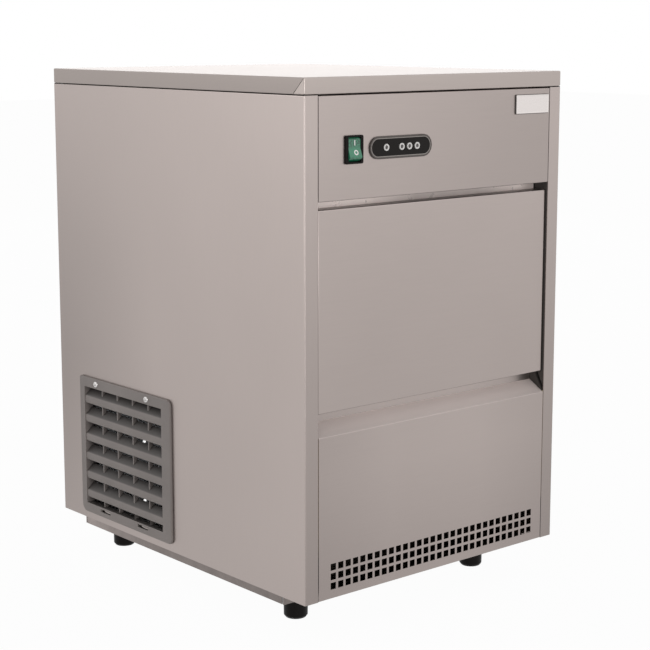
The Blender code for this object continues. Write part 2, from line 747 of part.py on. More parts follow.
def make_switch(cabinet, rocker_axis):
    """Rocker switch: a housing with a flanged rim and a pocket, and the rocker, with its upper end pressed in."""
    wide = SWITCH_BODY_WIDTH / 2
    tall = SWITCH_BODY_HEIGHT / 2
    half_width, half_height = SWITCH_WIDTH / 2, SWITCH_HEIGHT / 2
    rim = rectangle(
        SWITCH_X - half_width, SWITCH_Z - half_height, SWITCH_X + half_width, SWITCH_Z + half_height,
    )
    housing = prism("switch_housing", rounded(rim, SWITCH_CORNER, 3), "Y", -SWITCH_RIM - GAP, -GAP)
    soften_face(housing, 1, -SWITCH_RIM, 0.0006)
    body = box(
        "body",
        (SWITCH_X - wide, -SWITCH_RIM / 2, SWITCH_Z - tall),
        (SWITCH_X + wide, SWITCH_BODY_DEPTH, SWITCH_Z + tall),
    )
    unite(housing, body)
    pocket_x = ROCKER_WIDTH / 2 + GAP
    pocket_z = ROCKER_RADIUS + GAP
    pocket = box(
        "pocket",
        (SWITCH_X - pocket_x, -0.01, SWITCH_Z - pocket_z),
        (SWITCH_X + pocket_x, ROCKER_PIVOT + ROCKER_RADIUS * 0.75, SWITCH_Z + pocket_z),
    )
    cut(housing, pocket)
    terminals = []
    for row in (-1, 1):
        for column in (-1, 1):
            x = SWITCH_X + column * 0.0055
            z = SWITCH_Z + row * 0.007
            low = (x - 0.0004, SWITCH_BODY_DEPTH - 0.001, z - 0.003)
            terminals.append((low, (x + 0.0004, SWITCH_BODY_DEPTH + 0.009, z + 0.003)))
    unite(housing, boxes("terminals", terminals))
    finish(housing, BLACK_PLASTIC, cabinet)

    # The rocker's two front faces meet in a shallow hollow, and its ends are arcs about its pivot.
    upper = []
    for step in range(6):
        angle = math.radians(115 - 13 * step)
        upper.append((-ROCKER_RADIUS * math.cos(angle), ROCKER_RADIUS * math.sin(angle)))
    lower = [(depth, -rise) for depth, rise in reversed(upper)]
    turned = []
    for depth, rise in upper + [(ROCKER_HOLLOW - ROCKER_RADIUS * 0.64, 0.0)] + lower:
        y = depth * math.cos(ROCKER_TILT) + rise * math.sin(ROCKER_TILT)
        z = rise * math.cos(ROCKER_TILT) - depth * math.sin(ROCKER_TILT)
        turned.append((ROCKER_PIVOT + y, SWITCH_Z + z))
    half = ROCKER_WIDTH / 2
    rocker = prism("switch_rocker", turned, "X", SWITCH_X - half, SWITCH_X + half)
    finish(rocker, GREEN_LENS, rocker_axis)


def make_lower_panel(cabinet):
    """Lower front sheet: a foot flange, the perforated face, the slope under the door and the lip behind it.

    Between the side panels' flanges the foot runs on and laps over the base plate, which carries it."""
    half = SHEET / 2
    path = [
        (REAR_RETURN, half),
        (half, half),
        (half, LOWER_TOP),
        (FINGER_DEPTH, LOWER_TOP + FINGER_RISE),
        (FINGER_DEPTH, LIP_TOP),
    ]
    path = rounded(path, FOLD_RADIUS - half, 2, closed=False)
    panel = prism("lower_front_panel", strip(path, SHEET), "X", PANEL_LEFT, PANEL_RIGHT)
    foot_left = 2 * SIDE_FLANGE + GAP
    foot_rear = BASE_FRONT + PANEL_FOOT_LAP
    unite(panel, box("foot", (foot_left, REAR_RETURN - SHEET, 0), (WIDTH - foot_left, foot_rear, SHEET)))
    first = WIDTH / 2 - (VENT_COLUMNS - 1) / 2 * VENT_PITCH
    holes = []
    for row in range(VENT_ROWS):
        for column in range(VENT_COLUMNS):
            x = first + column * VENT_PITCH
            z = VENT_FIRST_ROW + row * VENT_PITCH
            low = (x - VENT_SIZE / 2, -SHEET, z - VENT_SIZE / 2)
            holes.append((low, (x + VENT_SIZE / 2, 2 * SHEET, z + VENT_SIZE / 2)))
    cut(panel, boxes("holes", holes))
    finish(panel, STEEL, cabinet)


def foot_places():
    rear = DEPTH - FOOT_REAR_INSET
    return {
        "front_left": (FOOT_SIDE_INSET, FOOT_FRONT_INSET),
        "front_right": (WIDTH - FOOT_SIDE_INSET, FOOT_FRONT_INSET),
        "rear_left": (FOOT_SIDE_INSET, rear),
        "rear_right": (WIDTH - FOOT_SIDE_INSET, rear),
    }


def make_base(cabinet):
    """Base plate: a flat deck with skirts folded down, open at its corners, drilled for the feet's studs."""
    left = BASE_INSET
    right = WIDTH - BASE_INSET
    rear = DEPTH - BASE_REAR_SPACE
    low = BASE_TOP - BASE_SKIRT
    inner = SHEET
    plate = box("base_plate", (left, BASE_FRONT, low), (right, rear, BASE_TOP))
    hollow = box(
        "hollow",
        (left + inner, BASE_FRONT + inner, low - inner),
        (right - inner, rear - inner, BASE_TOP - inner),
    )
    cut(plate, hollow)
    slits = []
    for y in (BASE_FRONT + 2 * inner, rear - 2 * inner - BASE_CORNER_SLIT):
        for x in (left - inner, right - inner * 1.5):
            slits.append(((x, y, low - inner), (x + 2.5 * inner, y + BASE_CORNER_SLIT, BASE_TOP - inner)))
    cut(plate, boxes("slits", slits))
    for x, y in foot_places().values():
        start = (x, y, BASE_TOP - 2 * inner)
        cut(plate, rod("hole", "Z", start, (x, y, BASE_TOP + inner), FOOT_STUD_RADIUS + STUD_CLEARANCE, 12))
    finish(plate, GALVANISED, cabinet)


def make_foot(name, place, frame):
    """Levelling foot: a slightly tapered pad with a rounded lower edge, moulded round its threaded stud."""
    x, y = place
    top = BASE_TOP - SHEET - GAP
    radius = FOOT_RADIUS
    profile = [
        (0, -FOOT_REACH),
        (radius - 0.0026, -FOOT_REACH),
        (radius - 0.0006, -FOOT_REACH + 0.0026),
        (radius, top),
        (FOOT_STUD_RADIUS, top),
        (FOOT_STUD_RADIUS, BASE_TOP + FOOT_STUD_REACH),
        (0, BASE_TOP + FOOT_STUD_REACH),
    ]
    finish(lathe(name, profile, "Z", (x, y, 0), 20), BLACK_PLASTIC, frame)


def make_door(cabinet, slide, tilt):
    """Bin door: a steel skin folded round a foam core, a rear sheet with a lip, and its guide pins."""
    edge = FOLD_RADIUS
    skin = box(
        "door_skin",
        (DOOR_LEFT, DOOR_RECESS, DOOR_BOTTOM),
        (DOOR_RIGHT, DOOR_BACK, DOOR_TOP),
    )
    mesh = bmesh.new()
    mesh.from_mesh(skin.data)
    front = [line for line in mesh.edges if all(vert.co.y < DOOR_RECESS + SHEET / 2 for vert in line.verts)]
    bmesh.ops.bevel(mesh, geom=front, offset=edge, segments=3, profile=0.5, affect="EDGES")
    mesh.to_mesh(skin.data)
    mesh.free()
    inner_low = (DOOR_LEFT + SHEET, DOOR_RECESS + SHEET, DOOR_BOTTOM + SHEET)
    inner_high = (DOOR_RIGHT - SHEET, DOOR_BACK + SHEET, DOOR_TOP - SHEET)
    cut(skin, box("hollow", inner_low, inner_high))
    core_low = tuple(value + GAP for value in inner_low)
    core_high = (inner_high[0] - GAP, DOOR_BACK, inner_high[2] - GAP)
    core = box("door_core", core_low, core_high)
    through = PIN_RADIUS + GROOVE_CLEARANCE
    low_start = (DOOR_LEFT - SHEET, PIN_Y, PIN_Z)
    low_end = (DOOR_RIGHT + SHEET, PIN_Y, PIN_Z)
    cut(skin, rod("bore", "X", low_start, low_end, through, 16))
    cut(core, rod("bore", "X", low_start, low_end, through, 16))

    high_z = PIN_Z + PIN_SPACING
    tip = LINING_FACE - GROOVE_DEPTH + PIN_END_GAP
    for side, hand in ((-1, "left"), (1, "right")):
        wall = WIDTH / 2 + side * (WIDTH / 2 - DOOR_LEFT)
        outer = WIDTH / 2 + side * (WIDTH / 2 - tip)
        inside = wall - side * (SHEET + GAP)
        profile = [
            (0, 0),
            (PIN_RADIUS, 0),
            (PIN_RADIUS, abs(inside - outer)),
            (PIN_HEAD_RADIUS, abs(inside - outer)),
            (PIN_HEAD_RADIUS, abs(inside - outer) + PIN_HEAD),
            (0, abs(inside - outer) + PIN_HEAD),
        ]
        profile = [(radius, -side * along) for radius, along in profile]
        pin = lathe(f"door_upper_pin_{hand}", profile, "X", (outer, PIN_Y, high_z), 16)
        finish(pin, BRIGHT_STEEL, tilt)
        start = wall + side * SHEET
        cut(skin, rod("bore", "X", (start, PIN_Y, high_z), (start - side * 3 * SHEET, PIN_Y, high_z), through, 16))
        pocket = wall - side * (2 * SHEET + 2 * GAP + PIN_HEAD)
        cut(core, rod("pocket", "X", (start, PIN_Y, high_z), (pocket, PIN_Y, high_z),
                      PIN_HEAD_RADIUS + GAP, 16))
    finish(skin, STEEL, tilt)
    finish(core, FOAM, tilt)

    half = SHEET / 2
    back_y = DOOR_BACK + GAP + half
    path = [
        (back_y, DOOR_BOTTOM),
        (back_y, DOOR_TOP + DOOR_LIP - half),
        (back_y - DOOR_LIP / 3, DOOR_TOP + DOOR_LIP - half),
    ]
    path = rounded(path, FOLD_RADIUS - half, 3, closed=False)
    back = prism("door_back", strip(path, SHEET), "X", DOOR_LEFT, DOOR_RIGHT)
    finish(back, BRIGHT_STEEL, tilt)
    long_start = (tip, PIN_Y, PIN_Z)
    long_end = (WIDTH - tip, PIN_Y, PIN_Z)
    finish(rod("door_lower_rod", "X", long_start, long_end, PIN_RADIUS, 16), BRIGHT_STEEL, slide)


def groove_path(beyond):
    """Middle line of the guide groove, up to a distance past the last pin place: slanted entry, upright run, arc.

    The upper pins move on a circle about the lower pins, which rise at the same time, so a point of the arc is
    the pin spacing turned by the door's tilt, added to the lower pins' height.
    """
    path = [(-0.0018, LOWER_TOP - 0.001), (0.0013, LOWER_TOP + 0.004), (0.0054, LOWER_TOP + 0.0114)]
    path += [(PIN_Y, LOWER_TOP + 0.022), (PIN_Y, PIN_Z + PIN_SPACING)]
    steps = 18
    for step in range(1, steps + 1):
        rise = DOOR_TRAVEL * step / steps
        angle = DOOR_TILT_RATE * rise
        path.append((PIN_Y + PIN_SPACING * math.sin(angle), PIN_Z + rise + PIN_SPACING * math.cos(angle)))
    ahead = Vector(path[-1]) - Vector(path[-2])
    path.append(tuple(Vector(path[-1]) + ahead.normalized() * beyond))
    return path


def make_linings(cabinet):
    """Moulded walls beside the door: a thin face on a ribbed back, with the channel of the guide groove."""
    outline = [
        (SHEET + GAP, LINING_BOTTOM),
        (LINING_REAR, LINING_BOTTOM),
        (LINING_REAR, LINING_TOP),
        (SHEET + GAP, LINING_TOP),
    ]
    outer = SHEET + GAP
    lining = prism("left_guide_lining", outline, "X", outer, LINING_FACE)
    inset = LINING_WALL
    window = rectangle(outline[0][0] + inset, LINING_BOTTOM + inset, LINING_REAR - inset, LINING_TOP - inset)
    pocket = prism("pocket", window, "X", outer - SHEET, LINING_FACE - LINING_WALL)
    width = 2 * (PIN_RADIUS + GROOVE_CLEARANCE)
    beyond = PIN_RADIUS + 3 * GROOVE_CLEARANCE
    channel = strip(groove_path(beyond + CHANNEL_WALL), width + 2 * CHANNEL_WALL)
    cut(pocket, prism("channel", channel, "X", 0.0, LINING_FACE))
    cut(lining, pocket)
    groove = prism("groove", strip(groove_path(beyond), width), "X", LINING_FACE - GROOVE_DEPTH, LINING_FACE + SHEET)
    cut(lining, groove)
    right = mirrored_x(lining, "right_guide_lining")
    finish(lining, LINING_GREY, cabinet)
    finish(right, LINING_GREY, cabinet)


def liner_outline(grow):
    """Side view of the tub's outside, moved outwards by a clearance: bin, step and chamber, open at the top."""
    return [
        (BIN_FRONT - grow, BIN_RIM),
        (BIN_FRONT - grow, BIN_FLOOR - grow),
        (BIN_REAR + grow, BIN_FLOOR - grow),
        (STEP_Y + grow, STEP_Z - grow),
        (LINER_REAR_Y + grow, STEP_Z - grow),
        (LINER_REAR_Y + grow, CHAMBER_TOP),
        (CHAMBER_FRONT - grow, CHAMBER_TOP),
        (CHAMBER_FRONT - grow, BIN_RIM),
    ]


def riser_holes():
    """Holes along y for the tubes that enter the chamber from behind, and one along z for the drain."""
    rear = REAR_PANEL_Y
    front = LINER_REAR_Y - 2 * LINER_WALL
    holes = []
    for x, z in ((SUCTION_X, EVAPORATOR_TUBE_Z), (LIQUID_X, EVAPORATOR_TUBE_Z), (VALVE_X, FILL_Z)):
        holes.append(rod("hole", "Y", (x, front, z), (x, rear, z), TUBE_HOLE_RADIUS, 12))
    low = (DRAIN_X, DRAIN_Y, FOAM_BOTTOM - 0.01)
    high = (DRAIN_X, DRAIN_Y, BIN_FLOOR + 3 * LINER_WALL)
    holes.append(rod("hole", "Z", low, high, DRAIN_RADIUS + FITTING_CLEARANCE, 16))
    return holes


def make_liner(cabinet):
    """Moulded tub: the ice bin, the step behind it and the walls of the ice chamber."""
    radii = [0, LINER_CORNER, LINER_CORNER, LINER_CORNER, LINER_CORNER, 0, 0, 0]
    outline = rounded(liner_outline(0.0), radii, 3)
    liner = prism("bin_liner", outline, "X", LINER_LEFT, LINER_RIGHT)
    wall = LINER_WALL
    inside = [
        (BIN_FRONT + wall, LIP_TOP),
        (BIN_FRONT + wall, BIN_FLOOR + wall),
        (BIN_REAR - wall, BIN_FLOOR + wall),
        (STEP_Y - wall, STEP_Z + wall),
        (LINER_REAR_Y - wall, STEP_Z + wall),
        (LINER_REAR_Y - wall, CHAMBER_TOP + wall),
        (BIN_FRONT - wall, CHAMBER_TOP + wall),
        (BIN_FRONT - wall, LIP_TOP),
    ]
    corner = LINER_CORNER - wall
    inside = rounded(inside, [0, corner, corner, corner, corner, 0, 0, 0], 3)
    cut(liner, prism("inside", inside, "X", LINER_LEFT + wall, LINER_RIGHT - wall))
    cut(liner, *riser_holes())
    finish(liner, WHITE_PLASTIC, cabinet)


def make_insulation(cabinet):
    """Foam block round the tub: side walls, front wall, floor, step and rear wall, with the tub's own hollow."""
    side = SHEET + GAP
    outline = [
        (side, FOAM_BOTTOM),
        (BIN_REAR + FOAM_REAR / 3, FOAM_BOTTOM),
        (STEP_Y + FOAM_STEP, FOAM_STEP_Z),
        (FOAM_REAR_Y, FOAM_STEP_Z),
        (FOAM_REAR_Y, CHAMBER_TOP - GAP),
        (LINING_REAR + GAP, CHAMBER_TOP - GAP),
        (LINING_REAR + GAP, LINING_BOTTOM - GAP),
        (side, LINING_BOTTOM - GAP),
    ]
    foam = prism("bin_insulation", outline, "X", side, WIDTH - side)
    radii = [0, LINER_CORNER, LINER_CORNER, LINER_CORNER, LINER_CORNER, 0, 0, 0]
    hollow = rounded(liner_outline(GAP), radii, 3)
    cut(foam, prism("hollow", hollow, "X", LINER_LEFT - GAP, LINER_RIGHT + GAP))
    mouth = [
        (-SHEET, LOWER_TOP - 3 * SHEET),
        (BIN_FRONT + SHEET, LOWER_TOP - 3 * SHEET),
        (BIN_FRONT + SHEET, CHAMBER_TOP + SHEET),
        (-SHEET, CHAMBER_TOP + SHEET),
    ]
    cut(foam, prism("mouth", mouth, "X", LINER_LEFT - GAP, LINER_RIGHT + GAP))
    cut(foam, *riser_holes())
    finish(foam, FOAM, cabinet)


def make_roof(cabinet):
    """Chamber roof: a plate on the tub's and the foam's upper edges, with a rib that drops inside the tub."""
    low = CHAMBER_TOP + GAP
    side = SHEET + GAP
    roof = box(
        "chamber_roof",
        (side, CHAMBER_FRONT + GAP, low),
        (WIDTH - side, FOAM_REAR_Y, low + ROOF_THICKNESS),
        0.001,
    )
    rib_gap = LINER_WALL + 2 * GAP
    rib = box(
        "rib",
        (LINER_LEFT + rib_gap, CHAMBER_FRONT + GAP + 0.002, low - 0.003),
        (LINER_RIGHT - rib_gap, LINER_REAR_Y - rib_gap, low + 0.002),
    )
    hollow = box(
        "hollow",
        (LINER_LEFT + rib_gap + 0.004, CHAMBER_FRONT + GAP + 0.006, low - 0.01),
        (LINER_RIGHT - rib_gap - 0.004, LINER_REAR_Y - rib_gap - 0.004, low - GAP),
    )
    cut(rib, hollow)
    finish(unite(roof, rib), WHITE_PLASTIC, cabinet)


def make_control_gear(cabinet):
    """Tray between the linings above the door's path, and the control box that stands on it."""
    low = LINING_TOP - TRAY_SHELF_DROP
    half = SHEET / 2
    path = [
        (SWITCH_BODY_DEPTH + 0.021, low + 0.010),
        (SWITCH_BODY_DEPTH + 0.021, low + half),
        (CHAMBER_FRONT - 0.004, low + half),
        (CHAMBER_FRONT - 0.004, low + 0.010),
    ]
    path = rounded(path, FOLD_RADIUS - half, 2, closed=False)
    tray = prism("control_tray", strip(path, SHEET), "X", PANEL_LEFT, PANEL_RIGHT)
    finish(tray, GALVANISED, cabinet)
    floor = low + SHEET + GAP
    control = box(
        "control_box",
        (CONTROL_BOX_X, CONTROL_BOX_Y, floor),
        (CONTROL_BOX_X + 0.130, CONTROL_BOX_Y + 0.090, floor + 0.042),
        0.002,
    )
    fins = []
    for index in range(5):
        left = CONTROL_BOX_X + 0.030 + index * 0.016
        fins.append(((left, CONTROL_BOX_Y + 0.02, floor + 0.0405), (left + 0.004, CONTROL_BOX_Y + 0.07, floor + 0.05)))
    cut(control, boxes("louvres", fins))
    finish(control, BLACK_PLASTIC, cabinet)


def finger_places():
    for row in range(FINGER_ROWS):
        for column in range(FINGER_COLUMNS):
            x = WIDTH / 2 + (column - (FINGER_COLUMNS - 1) / 2) * FINGER_PITCH
            yield x, EVAPORATOR_Y + (row - (FINGER_ROWS - 1) / 2) * FINGER_PITCH


def make_evaporator(cabinet):
    """Cold plate with rows of round-ended fingers below and four hanging posts above, and its tube."""
    reach_x = FINGER_REACH_X + EVAPORATOR_MARGIN - FINGER_RADIUS
    reach_y = FINGER_REACH_Y + EVAPORATOR_MARGIN - FINGER_RADIUS
    plate = box(
        "evaporator",
        (WIDTH / 2 - reach_x, EVAPORATOR_Y - reach_y, PLATE_BOTTOM),
        (WIDTH / 2 + reach_x, EVAPORATOR_Y + reach_y, PLATE_TOP),
    )
    radius = FINGER_RADIUS
    fingers = []
    for x, y in finger_places():
        profile = [
            (0, FINGER_TIP),
            (radius * 0.68, FINGER_TIP + radius * 0.24),
            (radius * 0.94, FINGER_TIP + radius),
            (radius, PLATE_BOTTOM + SHEET),
            (0, PLATE_BOTTOM + SHEET),
        ]
        fingers.append(lathe("finger", profile, "Z", (x, y, 0), 10))
    unite(plate, join("fingers", fingers))
    posts = []
    for x in (WIDTH / 2 - reach_x * 0.75, WIDTH / 2 + reach_x * 0.75):
        for y in (EVAPORATOR_Y - FINGER_PITCH * 0.62, EVAPORATOR_Y + FINGER_PITCH * 0.62):
            posts.append(rod("post", "Z", (x, y, PLATE_TOP - SHEET), (x, y, CHAMBER_TOP), 0.004, 10))
    unite(plate, join("posts", posts))
    finish(plate, TINNED_COPPER, cabinet)

    level = EVAPORATOR_TUBE_Z
    start = LINER_REAR_Y - LINER_WALL - 0.0045
    front = EVAPORATOR_Y - TUBE_PASS
    rear = EVAPORATOR_Y + TUBE_PASS
    outer = EVAPORATOR_Y + reach_y + EVAPORATOR_RUN_SPACE
    left = WIDTH / 2 - reach_x - 0.008
    path = [
        (LIQUID_X, start, level), (LIQUID_X, outer, level), (left, outer, level), (left, front, level),
        (WIDTH / 2 + reach_x - 0.008, front, level), (WIDTH / 2 + reach_x - 0.008, EVAPORATOR_Y, level),
        (left + 0.026, EVAPORATOR_Y, level), (left + 0.026, rear, level),
        (SUCTION_X, rear, level), (SUCTION_X, start, level),
    ]
    finish(tube("evaporator_tube", path, TUBE_RADIUS, 0.012), COPPER, cabinet)


def make_water_tray(tray_axis, cabinet):
    """Tipping tray under the fingers with its ears and moulded trunnion, its motor and its pivot pin."""
    wall = TRAY_WALL
    low = (TRAY_LEFT - wall, TRAY_FRONT - wall, TRAY_FLOOR - wall)
    high = (TRAY_RIGHT + wall, TRAY_REAR + wall, TRAY_RIM)
    tray = box("water_tray", low, high)
    mesh = bmesh.new()
    mesh.from_mesh(tray.data)
    lower = [line for line in mesh.edges if all(vert.co.z < TRAY_FLOOR for vert in line.verts)]
    bmesh.ops.bevel(mesh, geom=lower, offset=0.005, segments=2, profile=0.5, affect="EDGES")
    mesh.to_mesh(tray.data)
    mesh.free()
    hollow = box("hollow", (TRAY_LEFT, TRAY_FRONT, TRAY_FLOOR), (TRAY_RIGHT, TRAY_REAR, TRAY_RIM + wall))
    ear = PIVOT_RADIUS + 0.005
    arc = []
    for step in range(7):
        angle = math.radians(-90 + 30 * step)
        arc.append((TRAY_PIVOT_Y + ear * math.cos(angle), TRAY_PIVOT_Z + ear * math.sin(angle)))
    outline = arc + [(TRAY_REAR - ear, TRAY_PIVOT_Z + ear), (TRAY_REAR - ear, TRAY_PIVOT_Z - ear)]
    ears = []
    for inner in (TRAY_LEFT - wall, TRAY_RIGHT):
        ears.append(prism("ear", outline, "X", inner, inner + wall))
    cut(tray, hollow)
    unite(tray, join("ears", ears))
    pin_start = (TRAY_RIGHT - wall, TRAY_PIVOT_Y, TRAY_PIVOT_Z)
    pin_end = (TRAY_RIGHT + 3 * wall, TRAY_PIVOT_Y, TRAY_PIVOT_Z)
    cut(tray, rod("bore", "X", pin_start, pin_end, PIVOT_RADIUS + PIVOT_CLEARANCE, 16))
    motor_left = LINER_LEFT + LINER_WALL + GAP
    motor_right = motor_left + MOTOR_WIDTH
    trunnion_start = (motor_right - 0.012, TRAY_PIVOT_Y, TRAY_PIVOT_Z)
    unite(tray, rod("trunnion", "X", trunnion_start, (TRAY_LEFT - SHEET, TRAY_PIVOT_Y, TRAY_PIVOT_Z),
                    PIVOT_RADIUS, 16))
    finish(tray, WHITE_PLASTIC, tray_axis)

    motor = box(
        "tray_motor",
        (motor_left, TRAY_PIVOT_Y - 0.026, TRAY_PIVOT_Z - 0.022),
        (motor_right, TRAY_PIVOT_Y + 0.026, TRAY_PIVOT_Z + 0.022),
        0.003, 2,
    )
    boss = lathe(
        "boss",
        [(0, -0.002), (0.012, -0.002), (0.012, 0.003), (0.011, 0.004), (0, 0.004)],
        "X", (motor_right, TRAY_PIVOT_Y, TRAY_PIVOT_Z), 20,
    )
    unite(motor, boss)
    bore_start = (motor_right - 0.0125, TRAY_PIVOT_Y, TRAY_PIVOT_Z)
    bore_end = (motor_right + 0.01, TRAY_PIVOT_Y, TRAY_PIVOT_Z)
    cut(motor, rod("bore", "X", bore_start, bore_end, PIVOT_RADIUS + PIVOT_CLEARANCE, 16))
    finish(motor, BLACK_PLASTIC, cabinet)

    wall_x = LINER_RIGHT - LINER_WALL - GAP
    length = wall_x - (TRAY_RIGHT - wall / 2)
    profile = [
        (0, 0), (0.016, 0), (0.016, -0.004), (0.008, -0.006), (PIVOT_RADIUS + 0.002, -length + 0.008 + wall),
        (PIVOT_RADIUS, -length + 0.008 + wall), (PIVOT_RADIUS, -length), (0, -length),
    ]
    pin = lathe("tray_pivot_pin", profile, "X", (wall_x, TRAY_PIVOT_Y, TRAY_PIVOT_Z), 16)
    finish(pin, BRIGHT_STEEL, cabinet)


def chute_height(y):
    """Upper face of the ice chute at a depth y."""
    rear = LINER_REAR_Y - LINER_WALL - GAP
    return CHUTE_FRONT_Z + (CHUTE_REAR_Z - CHUTE_FRONT_Z) * (y - CHUTE_FRONT) / (rear - CHUTE_FRONT)


def make_chute(cabinet):
    """Ice chute: a sloped plate with long slots that drain the water, and a front lip that stands on the step."""
    left = LINER_LEFT + LINER_WALL + GAP
    right = WIDTH - left
    rear = LINER_REAR_Y - LINER_WALL - GAP
    floor = STEP_Z + LINER_WALL + GAP
    thick = CHUTE_THICKNESS
    outline = [
        (CHUTE_FRONT, floor),
        (CHUTE_FRONT + thick, floor),
        (CHUTE_FRONT + thick, chute_height(CHUTE_FRONT + thick) - thick),
        (rear, chute_height(rear) - thick),
        (rear, chute_height(rear)),
        (CHUTE_FRONT, chute_height(CHUTE_FRONT)),
    ]
    chute = prism("ice_chute", outline, "X", left, right)
    pitch = (right - left) / CHUTE_SLATS
    slots = []
    for index in range(CHUTE_SLATS):
        middle = left + pitch * (index + 0.5)
        low = (middle - CHUTE_SLOT / 2, CHUTE_FRONT + 0.022, floor + 0.01)
        slots.append((low, (middle + CHUTE_SLOT / 2, rear - 0.030, CHUTE_REAR_Z + 0.02)))
    cut(chute, boxes("slots", slots))
    hose = (PUMP_X, PUMP_Y, floor + 0.01)
    cut(chute, rod("notch", "Z", hose, (PUMP_X, PUMP_Y, CHUTE_REAR_Z + 0.02), TUBE_RADIUS + 0.003, 12))
    finish(chute, WHITE_PLASTIC, cabinet)


def make_water_system(cabinet):
    """Trough under the chute, its pump, the hose that fills the tray, and the splash guard."""
    left = LINER_LEFT + LINER_WALL + 0.0035
    low = STEP_Z + LINER_WALL + GAP
    wall = TROUGH_WALL
    rear = LINER_REAR_Y - LINER_CORNER
    front = TROUGH_FRONT
    trough = box("water_trough", (left, front, low), (WIDTH - left, rear, TROUGH_TOP))
    hollow = box(
        "hollow",
        (left + wall, front + wall, low + wall),
        (WIDTH - left - wall, rear - wall, TROUGH_TOP + wall),
    )
    cut(trough, hollow)
    finish(trough, WHITE_PLASTIC, cabinet)

    floor = low + wall + GAP
    profile = [
        (0, floor), (0.018, floor), (0.018, floor + 0.008), (0.0165, floor + 0.010), (0.0165, floor + 0.034),
        (0.013, floor + 0.038), (0.005, floor + 0.040), (0.005, floor + 0.050), (0, floor + 0.050),
    ]
    finish(lathe("water_pump", profile, "Z", (PUMP_X, PUMP_Y, 0), 20), BLACK_PLASTIC, cabinet)
    start = floor + 0.050 + GAP
    top = TRAY_RIM + 0.018
    spout = (TRAY_RIGHT - 0.010, TRAY_REAR - 0.008)
    path = [
        (PUMP_X, PUMP_Y, start), (PUMP_X, PUMP_Y, top), (spout[0], spout[1], top),
        (spout[0], spout[1], TRAY_RIM + 0.006),
    ]
    finish(tube("pump_hose", path, TUBE_RADIUS, 0.010), CLEAR_GREY, cabinet)

    half = SHEET / 2
    guard_y = TRAY_FRONT - TRAY_WALL - GUARD_FRONT_GAP
    roof = CHAMBER_TOP - 0.003
    path = [(guard_y, TRAY_RIM - 0.030), (guard_y, roof - half), (guard_y + 0.016, roof - half)]
    path = rounded(path, FOLD_RADIUS, 2, closed=False)
    side = LINER_LEFT + LINER_WALL + 2 * GAP
    guard = prism("splash_guard", strip(path, SHEET), "X", side, WIDTH - side)
    finish(guard, CLEAR_GREY, cabinet)


def make_level_flap(cabinet, flap_axis):
    """Bin level flap on its pin, the bracket that carries the pin, and the switch that the flap works."""
    wall = LINER_LEFT + LINER_WALL + GAP
    bore = FLAP_PIN_RADIUS + PIVOT_CLEARANCE
    left = wall + 0.016
    right = left + FLAP_WIDTH
    bracket = box(
        "flap_bracket",
        (wall, CHAMBER_FRONT + 0.005, FLAP_Z - 0.014),
        (wall + 0.0025, FLAP_Y + 0.018, FLAP_Z + 0.030),
    )
    pin = rod("pin", "X", (wall + SHEET, FLAP_Y, FLAP_Z), (right + 0.003, FLAP_Y, FLAP_Z), FLAP_PIN_RADIUS, 12)
    finish(unite(bracket, pin), GALVANISED, cabinet)

    hub = rod("level_flap", "X", (left, FLAP_Y, FLAP_Z), (right, FLAP_Y, FLAP_Z), FLAP_PIN_RADIUS + 0.0027, 12)
    low = FLAP_Z - FLAP_LENGTH
    paddle = [
        (FLAP_Y - 0.001, FLAP_Z), (FLAP_Y - 0.001, low + 0.010), (FLAP_Y + 0.003, low),
        (FLAP_Y + 0.005, low), (FLAP_Y + 0.001, low + 0.010), (FLAP_Y + 0.001, FLAP_Z),
    ]
    unite(hub, prism("paddle", paddle, "X", left, right))
    cut(hub, rod("bore", "X", (left - SHEET, FLAP_Y, FLAP_Z), (right + SHEET, FLAP_Y, FLAP_Z), bore, 12))
    finish(hub, WHITE_PLASTIC, flap_axis)

    switch_low = FLAP_Z + FLAP_PIN_RADIUS + 0.0048
    switch = box(
        "level_switch",
        (wall + 0.0028, FLAP_Y - 0.009, switch_low),
        (wall + 0.0128, FLAP_Y + 0.011, switch_low + 0.011),
        0.0008,
    )
    lever = box(
        "lever",
        (wall + 0.006, FLAP_Y - 0.008, switch_low - 0.0014),
        (wall + 0.026, FLAP_Y - 0.004, switch_low + 0.0006),
    )
    finish(unite(switch, lever), BLACK_PLASTIC, cabinet)


def make_condenser(cabinet):
    """Finned block: plates on both sides of a core, as one comb outline, between two end plates that stand."""
    middle = CONDENSER_X + CONDENSER_DEPTH / 2
    reach = CONDENSER_DEPTH / 2 - 0.002
    start = CONDENSER_FRONT + 0.0015
    length = CONDENSER_LENGTH - 0.003
    count = int(length / FIN_PITCH)
    first = start + (length - (count - 1) * FIN_PITCH - FIN_THICKNESS) / 2
    front_edge = []
    for index in range(count):
        y = first + index * FIN_PITCH
        front_edge += [(-0.004, y), (-reach, y), (-reach, y + FIN_THICKNESS), (-0.004, y + FIN_THICKNESS)]
    outline = [(middle - 0.004, start)] + [(middle + x, y) for x, y in front_edge]
    outline += [(middle - 0.004, start + length), (middle + 0.004, start + length)]
    outline += [(middle - x, y) for x, y in reversed(front_edge)] + [(middle + 0.004, start)]
    block = prism("condenser", outline, "Z", 0.006, CONDENSER_HEIGHT)
    plates = []
    for y in (CONDENSER_FRONT, CONDENSER_REAR - 0.0018):
        low = (CONDENSER_X, y, SHEET + GAP)
        plates.append((low, (CONDENSER_X + CONDENSER_DEPTH, y + 0.0018, CONDENSER_HEIGHT + 0.002)))
    unite(block, boxes("plates", plates))
    finish(block, ALUMINIUM, cabinet)


